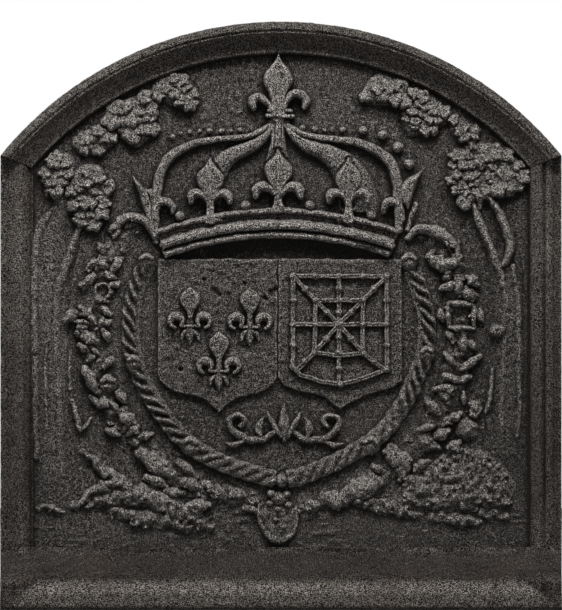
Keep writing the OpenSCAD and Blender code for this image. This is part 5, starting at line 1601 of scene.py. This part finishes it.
@dataclass
class InnerCollar:
    """A cord of slanted links round the shields, with shells along it and a knob below."""

    half_w: float = 11.5
    relief: float = 9.5
    link: float = 17.0
    slant: float = -0.75
    pitch: float = 0.9
    left_path: tuple = (
        (-166, 432), (-173, 420), (-181, 399), (-186, 374), (-188, 349), (-186, 326), (-180, 303),
        (-172, 284), (-161, 264), (-147, 243), (-130, 221), (-112, 205), (-92, 192), (-68, 181),
        (-38, 171), (-8, 163))
    right_path: tuple = (
        (8, 163), (26, 167), (61, 181), (92, 197), (114, 211), (131, 226), (146, 246), (160, 270),
        (171, 297), (179, 318), (182, 343), (181, 367), (175, 390), (164, 424))

    def cord(self, name: str, node: str, path: tuple, calm: float) -> None:
        """One run of cord: slanted links beside a smoother strand.

        Height = relief * worn * (1 - v^4)^0.7 * share, for s along the run and v from -1
        to 1 across it. With wave = sin(pi (s / link + slant v))^2, share is 0.20 + 0.80
        wave^1.2 where v is below 0.25, 0.42 on the other side, and 0.62 + 0.38 wave^0.6
        low down, where the cord is worn smooth. Both edges turn down into the plate.

        Args:
            name: The piece's name.
            node: The CAD node that it stands for.
            path: Points of the cord's middle.
            calm: How far above its lowest point the cord starts to be worn smooth.
        """
        middle = smooth(list(path), 16)
        step = np.linalg.norm(np.diff(middle, axis=0), axis=1)
        s = np.concatenate([[0], step.cumsum()])
        n = int(s[-1] / self.pitch)
        at = np.linspace(0, s[-1], n)
        centre = np.stack([np.interp(at, s, middle[:, 0]), np.interp(at, s, middle[:, 1])], 1)
        ahead = np.gradient(centre, axis=0)
        side = np.stack([-ahead[:, 1], ahead[:, 0]], 1)
        side /= np.linalg.norm(side, axis=1)[:, None]
        v = np.concatenate([[-1.12], np.linspace(-1.05, 1.05, 31), [1.12]])
        along, across = np.meshgrid(at, v, indexing="ij")
        bent = along + 2.4 * noise(along, across * 14, 16, 103)
        wave = np.sin(math.pi * (bent / self.link + self.slant * across)) ** 2
        low = np.clip(middle[:, 1].min() + calm - centre[:, 1], 0, 40)[:, None] / 40
        plain = np.clip((across - 0.25) / 0.3, 0, 1) * (1 - low)
        share = (0.20 + 0.80 * wave ** 1.2) * (1 - plain) + 0.42 * plain
        share = share * (1 - low) + low * (0.62 + 0.38 * wave ** 0.6)
        wide = self.half_w * (0.92 + 0.10 * wave + 0.05 * noise(along, across * 0, 19, 104))
        x = centre[:, 0, None] + side[:, 0, None] * wide * across
        z = centre[:, 1, None] + side[:, 1, None] * wide * across
        dome = np.maximum(1 - across ** 4, 0) ** 0.7
        worn = 0.9 + 0.28 * noise(along, across * 10, 31, 101)
        h = self.relief * worn * dome * share
        h = h + 1.1 * noise(x, z, 4.5, 102) * np.clip(dome, 0, 1)
        h = np.where(np.abs(across) > 1.0, -1.5, h)
        level = np.where(np.abs(across) > 1.06, 0, sand_level(x, z))
        h = np.where(np.abs(across) > 1.06, -2.4, h)
        rings = np.stack([x, FIELD_Y - h - level, z], 2)
        wear_and_shading = 0.42 + 0.20 * detail(h, 4) + 0.02 * h
        ORNAMENT_SHADE.add(x, z, h)
        seat(swept_piece(name, rings, wear_and_shading), Slot.RELIEF, node)

    def shells(self) -> None:
        """Bosses on the cord, each with a bright cap over a smooth ball."""
        piece = Carving("shells", "cord_shells", (-206, 184), (202, 456))
        for x, z, r in ((-168, 434, 11), (-184, 308, 11), (-113, 204, 13), (112, 205, 12.5),
                        (182, 319, 10.5), (160, 434, 11.5)):
            piece.dome(x, z - 1, r, r, 12, 0.5)
            piece.stroke(
                [(x - r * 0.55, z + r * 0.35, r * 0.34, 13), (x, z + r * 0.62, r * 0.42, 14.5),
                (x + r * 0.55, z + r * 0.35, r * 0.34, 13)], Profile.DOME, 0.6)
        piece.build()
        knob = Carving("cord_end_knob", "cord_knob", (-22, 142), (22, 180))
        knob.dome(1, 161, 9.5, 9.5, 13)
        knob.dome(2, 164, 5, 4.5, 15)
        for side in (-1, 1):
            knob.dome(1 + side * 11, 161, 6, 7, 9)
        knob.build()

    def build(self) -> None:
        """Makes both runs, the shells and the knob."""
        self.cord("left_cord", "cord_left", self.left_path, 60)
        self.cord("right_cord", "cord_right", self.right_path, 120)
        self.shells()


@dataclass
class OuterCollar:
    """A broad, worn collar of leaves, open square links, hooks and balls, and a pendant.

    Attributes:
        left_leaves: Rows of x and z at both ends, half width and height.
        right_leaves: The same on the right.
    """

    bed: float = 2.1
    left_leaves: tuple = (
        (-213, 472, -206, 481, 3.7, 7), (-207, 464, -200, 475, 3, 6),
        (-206, 481, -197, 489, 3.7, 7), (-215, 417, -200, 437, 3.7, 7),
        (-222, 446, -227, 456, 3.7, 6), (-243, 407, -233, 419, 3.7, 7),
        (-220, 421, -208, 414, 3.2, 7), (-213, 404, -203, 409, 3.2, 6),
        (-251, 377, -231, 359, 3.7, 8), (-268, 362, -257, 370, 5, 8),
        (-258, 359, -236, 357, 2.5, 6), (-223, 375, -213, 370, 3.7, 7),
        (-225, 355, -213, 361, 3.2, 6), (-246, 343, -231, 334, 5, 9),
        (-252, 330, -242, 324, 3.7, 8), (-222, 349, -215, 336, 3.2, 7),
        (-236, 328, -228, 320, 3, 6), (-221, 303, -211, 313, 3.7, 7),
        (-245, 301, -230, 273, 5, 10), (-203, 271, -195, 260, 4.2, 8),
        (-237, 265, -228, 256, 3.2, 6), (-226, 255, -216, 261, 3.7, 8),
        (-213, 259, -203, 246, 3.2, 8), (-200, 246, -185, 233, 6.2, 10),
        (-195, 225, -185, 236, 3.7, 8), (-216, 224, -203, 219, 3.7, 8),
        (-191, 219, -178, 229, 3.7, 8), (-176, 215, -163, 219, 4.7, 8),
        (-186, 208, -177, 210, 3.7, 7), (-173, 195, -137, 168, 8, 9),
        (-129, 184, -109, 169, 4.2, 5), (-167, 165, -145, 157, 5, 8),
        (-145, 149, -122, 145, 3.7, 6), (-122, 160, -102, 152, 5.5, 7),
        (-97, 158, -86, 153, 4.2, 7), (-85, 149, -69, 142, 5, 6), (-114, 129, -91, 132, 5.5, 8),
        (-62, 149, -45, 142, 4.5, 6), (-46, 128, -29, 124, 3.2, 5), (-230, 387, -216, 384, 3, 6),
        (-240, 312, -232, 318, 3, 6), (-228, 436, -218, 428, 3.4, 7))
    right_leaves: tuple = (
        (200, 401, 221, 406, 3.7, 7), (221, 414, 222, 392, 3.7, 8), (232, 415, 245, 405, 3.7, 7),
        (226, 397, 242, 391, 5.5, 7), (210, 352, 240, 351, 2.9, 8), (241, 380, 241, 353, 2.6, 6),
        (209, 380, 209, 353, 2.8, 6), (210, 382, 240, 381, 3, 8), (246, 372, 252, 360, 3.4, 6),
        (198, 372, 202, 360, 3.4, 6), (227, 346, 227, 319, 4, 7), (227, 299, 247, 316, 3.5, 9),
        (205, 318, 216, 305, 3.7, 7), (205, 291, 223, 286, 4, 9), (223, 286, 236, 290, 3.2, 7),
        (193, 275, 218, 278, 3.7, 7), (227, 271, 228, 258, 2.7, 6), (183, 260, 196, 244, 5, 7),
        (200, 270, 210, 260, 3.7, 6), (212, 238, 222, 244, 4.7, 9), (238, 256, 248, 249, 4.7, 6),
        (173, 224, 191, 229, 4, 7), (195, 216, 208, 223, 5, 8), (210, 202, 222, 208, 4.5, 8),
        (170, 179, 182, 184, 5, 7), (80, 142, 120, 160, 9.2, 9), (54, 139, 79, 135, 7.5, 7),
        (27, 127, 51, 132, 5.5, 5), (116, 179, 126, 173, 3.7, 6), (186, 208, 196, 202, 3.7, 5),
        (155, 157, 168, 164, 3.7, 5), (208, 344, 218, 338, 3.4, 6), (234, 334, 242, 326, 3.2, 6))
    left_path: tuple = (
        (-190, 474), (-207, 455), (-221, 432), (-231, 399), (-236, 361), (-235, 324), (-227, 288),
        (-213, 257), (-191, 228), (-166, 200), (-143, 178), (-114, 158), (-82, 146), (-45, 136))
    right_path: tuple = (
        (186, 466), (203, 448), (216, 420), (222, 386), (224, 349), (219, 307), (208, 270),
        (190, 238), (165, 207), (138, 178), (99, 152), (61, 138), (30, 128))

    def bed_of(self, piece: Carving, path: tuple) -> None:
        """Lays a low, broken bed under the leaves, which follows the path."""
        rows = [(x, z, 15, self.bed) for x, z in path]
        piece.stroke(rows, Profile.ROUND)
        piece.h += np.where(piece.h > -1, 1.5 * noise(piece.gx, piece.gz, 9, 121), 0)

    def leaves(self, piece: Carving, rows: tuple) -> None:
        """Draws the leaves, each a stroke that swells and narrows to its tip."""
        for x0, z0, x1, z1, w, h in rows:
            mx, mz = 0.55 * x1 + 0.45 * x0, 0.55 * z1 + 0.45 * z0
            piece.stroke([(x0, z0, w * 1.15, h * 0.85), (mx, mz, w * 1.6, h * 1.35),
                          (x1, z1, w * 0.95, h * 0.75)], Profile.DOME, 0.8, 4)

    def petals(self, piece: Carving, x: float, z: float, reach: float, count: int,
               turn: float) -> None:
        """Draws a worn flower."""
        for k in range(count):
            a = turn + k * 2 * math.pi / count
            piece.stroke(
                [(x + 2 * math.cos(a), z + 2 * math.sin(a), 2.4, 5),
                (x + reach * 0.6 * math.cos(a), z + reach * 0.6 * math.sin(a), 3.8, 7.5),
                (x + reach * math.cos(a), z + reach * math.sin(a), 1.4, 4)], Profile.DOME, 0.8, 4)
        piece.dome(x, z, 3.6, 3.6, 7.5)

    def ring(self, piece: Carving, x: float, z: float, r: float, w: float, h: float) -> None:
        """Draws an open round link."""
        rows = [(x + r * math.sin(a), z + r * math.cos(a), w, h * (0.8 + 0.3 * math.cos(a)))
                for a in np.linspace(0, 2 * math.pi, 13)]
        piece.stroke(rows, Profile.DOME, 0.8, 4)

    def ball(self, piece: Carving, x: float, z: float, r: float, capped: bool) -> None:
        """Draws a smooth ball, which may have a ragged cap over it."""
        piece.dome(x, z, r, r, 8.5, 0.5)
        if capped:
            piece.stroke([(x - r * 0.5, z + r * 0.45, r * 0.3, 10), (x, z + r * 0.7, r * 0.4, 12),
                          (x + r * 0.6, z + r * 0.4, r * 0.3, 10)], Profile.DOME, 0.6)

    def left(self) -> None:
        """The left side."""
        piece = Carving("left_collar", "collar_left", (-280, 110), (-18, 508), **COLLAR_CUT)
        self.bed_of(piece, self.left_path)
        self.leaves(piece, self.left_leaves)
        piece.swell(
            [(-205, 472, 3.7, 6), (-200, 484, 5, 8), (-190, 490, 5.7, 10), (-177, 489, 6, 10),
            (-167, 482, 5.7, 10), (-160, 470, 5, 8), (-157, 460, 4.2, 6)])
        self.petals(piece, -228, 431, 11, 6, 0.4)
        self.petals(piece, -248, 347, 10, 5, 0.9)
        self.ring(piece, -222, 397, 9, 2.8, 6)
        piece.tufts(40, 6, 4.2, 143).tufts(80, 3.6, 3.4, 141)
        self.ball(piece, -216, 281, 11.5, True)
        piece.build()

    def right(self) -> None:
        """The right side."""
        piece = Carving("right_collar", "collar_right", (6, 104), (262, 508), **COLLAR_CUT)
        self.bed_of(piece, self.right_path)
        self.leaves(piece, self.right_leaves)
        piece.swell(
            [(158, 464, 3.7, 6), (166, 472, 5.5, 8), (180, 475, 6.7, 11), (196, 470, 8, 12),
            (210, 459, 8, 11), (218, 444, 7, 9), (221, 431, 5, 7)])
        piece.swell(
            [(186, 441, 6.2, 9), (198, 431, 9.4, 13), (213, 432, 8.7, 13), (223, 440, 5, 8)])
        piece.groove([(213, 449, 3.4, 6), (214, 446, 3, 6)])
        piece.swell([(137, 199, 8.7, 8), (143, 190, 13.1, 12), (151, 184, 13.7, 12),
                      (151, 172, 8.7, 9), (148, 162, 3.7, 6)])
        piece.tufts(34, 6, 4.2, 144).tufts(80, 3.6, 3.4, 142)
        for x, z, r in ((232, 225, 15), (181, 209, 12.5), (207, 415, 8)):
            self.ball(piece, x, z, r, False)
        piece.build()

    def pendant(self) -> None:
        """The pendant: a leafy knot over a rounded medal."""
        piece = Carving("pendant_medal", "collar_pendant", (-42, 72), (38, 160),
                        ragged=1.2, lumps=1.2)
        piece.pillow([(-27, 128), (-26, 110), (-16, 93), (-1, 86), (13, 93), (20, 110),
                      (18, 128), (-4, 134)], 4.2, 8)
        piece.stroke(
            [(-27, 130, 3, 3.4), (-26, 110, 4, 4.2), (-17, 94, 5, 5.4), (-2, 87, 5.6, 6.2),
            (12, 93, 5, 5.2), (19, 109, 4, 4), (18, 128, 3, 3.2)], Profile.ROUND, 2)
        piece.dome(-2, 138, 13, 10, 9)
        for x, z, r in ((-12, 145, 6), (7, 144, 6), (-14, 133, 5.5), (9, 131, 5.5), (-3, 126, 5),
                        (-6, 112, 4), (4, 104, 4)):
            piece.dome(x, z, r, r * 0.85, 10)
        piece.build()

    def build(self) -> None:
        """Makes both sides and the pendant."""
        self.left()
        self.right()
        self.pendant()


@dataclass
class LeafScroll:
    """A plain leaf scroll with a bud, under the shields.

    Each of limbs has the carving it is on, and rows of distance from the middle, height up
    the plate, half width and share of the relief.
    """

    relief: float = 5.6
    middle: float = 4.0
    limbs: tuple[tuple[str, tuple], ...] = (
        ("scroll", ((12, 222, 3, 1), (26, 213, 4.4, 1), (46, 213, 4.6, 1), (64, 223, 4.4, 1),
                    (68, 237, 3.8, 1), (57, 243, 3.6, 1.1), (49, 236, 4.2, 1.2), (54, 229, 3, 1))),
        ("scroll", ((30, 216, 3, 1), (31, 228, 5.4, 1.2), (26, 240, 1.2, 0.5))),
        ("scroll", ((50, 211, 2.6, 1), (62, 206, 4, 1), (74, 207, 1.2, 0.5))),
        ("bud", ((4, 216, 3, 1), (12, 229, 4.6, 1.1), (21, 246, 1.4, 0.6))))

    def build(self) -> None:
        """Makes the scroll and the bud."""
        h, m = self.relief, self.middle
        scroll = Carving("scroll_arms", "leaf_scroll", (m - 88, 196), (m + 88, 254),
                         ragged=1.2, lumps=0.9)
        bud = Carving("scroll_bud", "leaf_bud", (m - 32, 200), (m + 32, 264),
                      ragged=1.0, lumps=0.9)
        for side in (-1, 1):
            for carving, rows in self.limbs:
                piece = scroll if carving == "scroll" else bud
                piece.swell([(m + side * dx, z, w, h * share) for dx, z, w, share in rows])
        bud.swell([(m, 212, 3.4, h), (m, 228, 7, h * 1.4), (m, 243, 4.6, h * 1.2),
                   (m, 257, 0.9, h * 0.5)])
        scroll.build()
        bud.build()


# ---- Trees and ground ----


@dataclass
class Trees:
    """Two trees: clumps of scale-like leaves in the corners, and soft-edged trunks."""

    relief: float = 14.5
    leaf: float = 10.4

    def clumps(self, name: str, node: str, groups: list[tuple[Stations, float, float, int]],
               lean: float) -> None:
        """Makes one piece from several clumps of leaves.

        Args:
            name: The piece's name.
            node: The CAD node that it stands for.
            groups: Outline, share of full height, share of leaf size and seed of each.
            lean: Direction in which the leaves hang, in degrees from straight down.
        """
        every = np.concatenate([np.asarray(g[0], float) for g in groups])
        low, high = every.min(0) - 9, every.max(0) + 9
        piece = Carving(name, node, tuple(low), tuple(high), ragged=1.6, lumps=0.9, slot=Slot.TREE)
        for outline, share, size, seed in groups:
            piece.foliage(outline, self.leaf * size, self.relief * share, seed, lean)
        piece.build()

    def leaves(self) -> None:
        """The foliage in both upper corners."""
        self.clumps("left_top_foliage", "left_top_leaves", [
            ([(-163, 646), (-155, 661), (-136, 670), (-121, 671), (-111, 661), (-102, 640),
              (-106, 627), (-117, 622), (-132, 626), (-147, 633), (-155, 638)], 0.95, 0.95, 201),
            ([(-222, 618), (-211, 631), (-195, 638), (-176, 643), (-161, 641), (-150, 630),
              (-153, 613), (-161, 598), (-166, 583), (-178, 576), (-191, 583), (-201, 593),
              (-213, 606)], 1, 1.1, 202),
            ([(-263, 582), (-253, 594), (-236, 601), (-220, 602), (-203, 596), (-206, 583),
              (-216, 573), (-228, 566), (-243, 565), (-256, 571)], 0.9, 0.95, 203)], 20)
        self.clumps("left_corner_foliage", "left_corner_leaves", [
            ([(-299, 546), (-293, 561), (-281, 571), (-266, 570), (-256, 561), (-255, 546),
              (-263, 533), (-276, 523), (-291, 513), (-297, 523)], 0.95, 1, 204),
            ([(-266, 536), (-258, 551), (-243, 558), (-228, 556), (-218, 543), (-213, 521),
              (-216, 498), (-226, 483), (-241, 473), (-253, 481), (-261, 498), (-266, 517)], 1,
             0.95, 205)], 15)
        self.clumps("right_top_foliage", "right_top_leaves", [
            ([(101, 646), (106, 658), (119, 668), (134, 669), (148, 664), (161, 656), (159, 641),
              (148, 633), (134, 628), (119, 628), (106, 633)], 1.05, 1.1, 206),
            ([(146, 646), (160, 651), (180, 646), (198, 636), (211, 621), (208, 608), (196, 598),
              (178, 593), (163, 591), (153, 598), (148, 613), (152, 630)], 0.9, 0.9, 207),
            ([(207, 614), (219, 616), (233, 611), (248, 598), (246, 586), (231, 580), (216, 588)],
             0.85, 0.9, 208)], -18)
        self.clumps("right_corner_foliage", "right_corner_leaves", [
            ([(208, 561), (218, 576), (236, 581), (256, 583), (276, 576), (293, 566), (303, 553),
              (306, 541), (298, 526), (283, 518), (268, 516), (253, 521), (243, 511), (231, 501),
              (218, 508), (211, 526), (206, 543)], 0.8, 0.95, 209),
            ([(260, 541), (270, 550), (284, 549), (292, 536), (288, 522), (275, 516), (263, 524)],
             1.1, 1.5, 210),
            ([(220, 533), (230, 541), (241, 536), (243, 518), (236, 503), (226, 504), (219, 516)],
             1.1, 1.4, 211)], -15)

    def trunks(self) -> None:
        """The trunks: low flutes with a stub and a knot each."""
        left = Carving("left_tree_trunk", "left_trunk", (-316, 150), (-226, 524),
                       **TRUNK_CUT, foot_shade=0.05)
        left.stroke(
            [(-274, 508, 9, 1.6), (-286, 470, 16, 2), (-288, 430, 19, 2.3), (-287, 380, 20, 2.4),
            (-286, 320, 20, 2.3), (-285, 250, 19, 2), (-284, 172, 16, 1.2)], Profile.ROUND)
        left.strokes([
            [(-281, 503, 3, 2.6), (-296, 486, 4.8, 3.6), (-304, 462, 5.6, 4),
             (-307, 430, 5.6, 3.6), (-308, 380, 5, 3), (-307, 320, 4.6, 3.2),
             (-306, 260, 4.2, 2.8), (-305, 190, 3.6, 2.2)],
            [(-253, 474, 4.4, 3.6), (-262, 448, 6, 4.4), (-274, 415, 6.4, 4.6), (-280, 390, 6, 4),
             (-281, 350, 5.6, 3.4), (-279, 290, 5.2, 3.6), (-276, 220, 4.6, 3),
             (-274, 170, 4, 2.2)],
            [(-263, 322, 1.8, 1.4), (-264, 300, 2.2, 2.6), (-263, 275, 2.4, 2.8)],
            [(-293, 330, 2.4, 3.4), (-294, 280, 2.6, 3.6), (-292, 225, 2.2, 2.8)],
            [(-261, 262, 3, 4), (-255, 240, 3.6, 5), (-250, 225, 3.8, 5.4), (-243, 231, 3.2, 5),
             (-237, 239, 2, 3.4)]], Profile.ROUND, 2)
        left.dome(-260, 367, 8, 8.5, 7.5)
        left.build()
        right = Carving("right_tree_trunk", "right_trunk", (226, 180), (312, 532),
                        **TRUNK_CUT, foot_shade=0.08)
        right.stroke(
            [(268, 440, 9, 1.8), (280, 410, 15, 2.6), (284, 370, 17, 2.6), (284, 320, 17, 2.4),
            (283, 260, 16, 2), (280, 200, 13, 1.2)], Profile.ROUND)
        right.strokes([
            [(240, 506, 4, 6), (246, 488, 5.6, 8), (256, 464, 6, 8), (266, 440, 6.2, 7.4),
             (275, 414, 6, 6), (281, 385, 5.6, 4.4), (279, 330, 5, 3.4), (276, 260, 4.6, 3.2),
             (275, 210, 4, 2.2)],
            [(247, 502, 3.6, 6), (251, 514, 4.4, 7), (262, 511, 5.2, 8), (273, 494, 6.2, 9),
             (281, 474, 6.6, 9), (286, 452, 6.4, 8.4), (282, 436, 5.4, 7), (273, 429, 4.4, 6)],
            [(289, 428, 4, 3.4), (295, 390, 4.6, 3.6), (297, 330, 4.2, 3.4), (297, 270, 4, 3),
             (295, 215, 3.4, 2.2)],
            [(264, 300, 3, 4.4), (262, 272, 3.6, 5), (256, 246, 2.6, 3.6)]], Profile.ROUND, 2)
        right.dome(271, 348, 12, 10, 10)
        right.dome(270, 352, 7, 4, 11)
        right.build()

    def ground(self) -> None:
        """The mounds at the foot of both trees."""
        left = Carving("left_ground", "left_bank", (-314, 84), (-74, 216), **GROUND_CUT)
        left.strokes([
            [(-248, 198, 4, 3.5), (-228, 182, 8.5, 7), (-206, 164, 9, 7.5), (-186, 150, 7, 6)],
            [(-256, 128, 4, 2.5), (-246, 138, 5, 5), (-226, 152, 9, 7), (-204, 158, 10, 7.5)],
            [(-236, 134, 7, 4), (-208, 140, 11, 6.5), (-176, 144, 14, 8.5), (-150, 134, 14, 8),
             (-120, 120, 12, 6.5), (-90, 104, 8, 3.5)],
            [(-210, 122, 8, 3.5), (-186, 118, 9, 4), (-150, 112, 10, 4.5), (-116, 104, 7, 3)],
            [(-303, 126, 3.5, 2.4), (-290, 128, 6, 4), (-272, 123, 4, 2.4)]], Profile.ROUND, 3)
        left.tufts(46, 5, 3.4, 231)
        left.build()
        right = Carving("right_ground", "right_bush", (86, 94), (304, 214), **GROUND_CUT)
        right.pillow(
            [(138, 128), (146, 148), (160, 166), (182, 182), (206, 196), (232, 203), (256, 199),
            (276, 186), (290, 164), (292, 140), (272, 128), (240, 124), (200, 122), (166, 122)],
            5.2, 22)
        right.strokes([
            [(92, 134, 4, 2.5), (118, 130, 9, 5), (146, 126, 10, 5.5), (172, 116, 6, 3)],
            [(190, 116, 6, 3), (218, 112, 8, 4), (246, 108, 5, 2.5)],
            [(250, 120, 5, 2.5), (278, 116, 6, 3)]], Profile.ROUND, 3)
        right.tufts(70, 5.4, 4, 232)
        right.build()

    def build(self) -> None:
        """Makes foliage, trunks and ground."""
        self.leaves()
        self.trunks()
        self.ground()


# ---- Studio ----


@dataclass(frozen=True)
class Studio:
    """A pale floor, soft light from above and a long lens in front.

    Sizes are in metres but the sensor's, in millimetres. The rim's plane is distance from
    the camera and seen_width wide in the frame, bounce is how bright the fireback sees the
    floor, and lamps has the name, place, size and watts of each lamp.
    """

    distance: float = 8.0
    eye: float = 0.3802
    seen_width: float = 0.6995
    sensor: float = 36.0
    ambient: float = 0.06
    bounce: float = 0.3
    floor_half: float = 4.0
    aim: tuple[float, float, float] = (0.0, 0.0, 0.35)
    lamps: tuple[tuple, ...] = (
        ("sky_box", (0.0, -0.92, 2.38), (1.9, 0.45), 86),
        ("back_box", (0.0, 2.6, 1.8), (1.4, 1.0), 14),
        ("front_box", (0.0, -3.2, 1.6), (1.4, 1.0), 5))

    def camera(self) -> None:
        """Sets the camera square on, so that the rim's plane fills the frame's width."""
        data = bpy.data.cameras.new("view")
        data.sensor_fit = "HORIZONTAL"
        data.sensor_width = self.sensor
        data.lens = self.sensor * self.distance / self.seen_width
        data.clip_end = 50
        camera = bpy.data.objects.new("view", data)
        rim_y = (FIELD_Y - RIM_PROUD) * MM
        camera.location = (0, rim_y - self.distance, self.eye)
        camera.rotation_euler = (math.pi / 2, 0, 0)
        bpy.context.scene.collection.objects.link(camera)
        bpy.context.scene.camera = camera

    def lamp(self, name: str, place: tuple, size: tuple, watts: float) -> None:
        """Adds one soft box.

        Args:
            name: The lamp's name.
            place: Where it stands.
            size: Its width and height.
            watts: Its power.
        """
        data = bpy.data.lights.new(name, "AREA")
        data.shape = "RECTANGLE"
        data.size, data.size_y = size
        data.energy = watts
        lamp = bpy.data.objects.new(name, data)
        lamp.location = place
        toward = Vector(self.aim) - Vector(place)
        lamp.rotation_euler = toward.to_track_quat("-Z", "Y").to_euler()
        bpy.context.scene.collection.objects.link(lamp)

    def seen_white(self, tree: bpy.types.NodeTree) -> bpy.types.NodeSocket:
        """1 for rays that show the backdrop itself: camera, glossy and transmission."""
        path = tree.nodes.new("ShaderNodeLightPath")
        seen = path.outputs["Is Camera Ray"]
        for ray in ("Is Glossy Ray", "Is Transmission Ray"):
            either = tree.nodes.new("ShaderNodeMath")
            either.operation = "MAXIMUM"
            tree.links.new(seen, either.inputs[0])
            tree.links.new(path.outputs[ray], either.inputs[1])
            seen = either.outputs[0]
        return seen

    def world(self) -> None:
        """A dim even world that the camera sees as white."""
        world = bpy.data.worlds.new("studio")
        bpy.context.scene.world = world
        world.use_nodes = True
        tree = world.node_tree
        tree.nodes.clear()
        out = tree.nodes.new("ShaderNodeOutputWorld")
        dim = tree.nodes.new("ShaderNodeBackground")
        dim.inputs["Strength"].default_value = self.ambient
        white = tree.nodes.new("ShaderNodeBackground")
        white.inputs["Strength"].default_value = 1.0
        for node in (dim, white):
            node.inputs["Color"].default_value = (1, 1, 1, 1)
        mix = tree.nodes.new("ShaderNodeMixShader")
        tree.links.new(self.seen_white(tree), mix.inputs["Fac"])
        tree.links.new(dim.outputs[0], mix.inputs[1])
        tree.links.new(white.outputs[0], mix.inputs[2])
        tree.links.new(mix.outputs[0], out.inputs["Surface"])

    def floor(self) -> None:
        """A wide pale floor that keeps the fireback's shadow."""
        half = self.floor_half
        points = np.asarray([(-half, -half, 0), (half, -half, 0), (half, half, 0),
                             (-half, half, 0)]) / MM
        points[:, 2] = -0.05
        floor = mesh_piece("floor", points, np.asarray([[0, 1, 2, 3]]), [], np.zeros(4))
        material = bpy.data.materials.new("pale_floor")
        material.use_nodes = True
        tree = material.node_tree
        shader = tree.nodes["Principled BSDF"]
        shader.inputs["Roughness"].default_value = 0.9
        seen = tree.nodes.new("ShaderNodeMix")
        seen.data_type = "RGBA"
        seen.inputs[6].default_value = (*[self.bounce] * 3, 1)
        seen.inputs[7].default_value = (0.86, 0.86, 0.86, 1)
        tree.links.new(self.seen_white(tree), seen.inputs["Factor"])
        tree.links.new(seen.outputs[2], shader.inputs["Base Color"])
        floor.data.materials.append(material)

    def build(self) -> None:
        """Sets up camera, light and floor."""
        bpy.context.scene.view_settings.view_transform = "Standard"
        self.camera()
        self.world()
        self.floor()
        for lamp in self.lamps:
            self.lamp(*lamp)


def main() -> None:
    """Builds the fireback and its studio, and reports each piece."""
    logging.basicConfig(level=logging.INFO, format="%(message)s")
    Studio().build()
    for part in (FrameMoulding(), Crown(), Shields(), InnerCollar(), OuterCollar(), LeafScroll(),
                 Trees(), Plate()):
        LOG.info("%s", type(part).__name__)
        part.build()


if __name__ == "__main__":
    main()
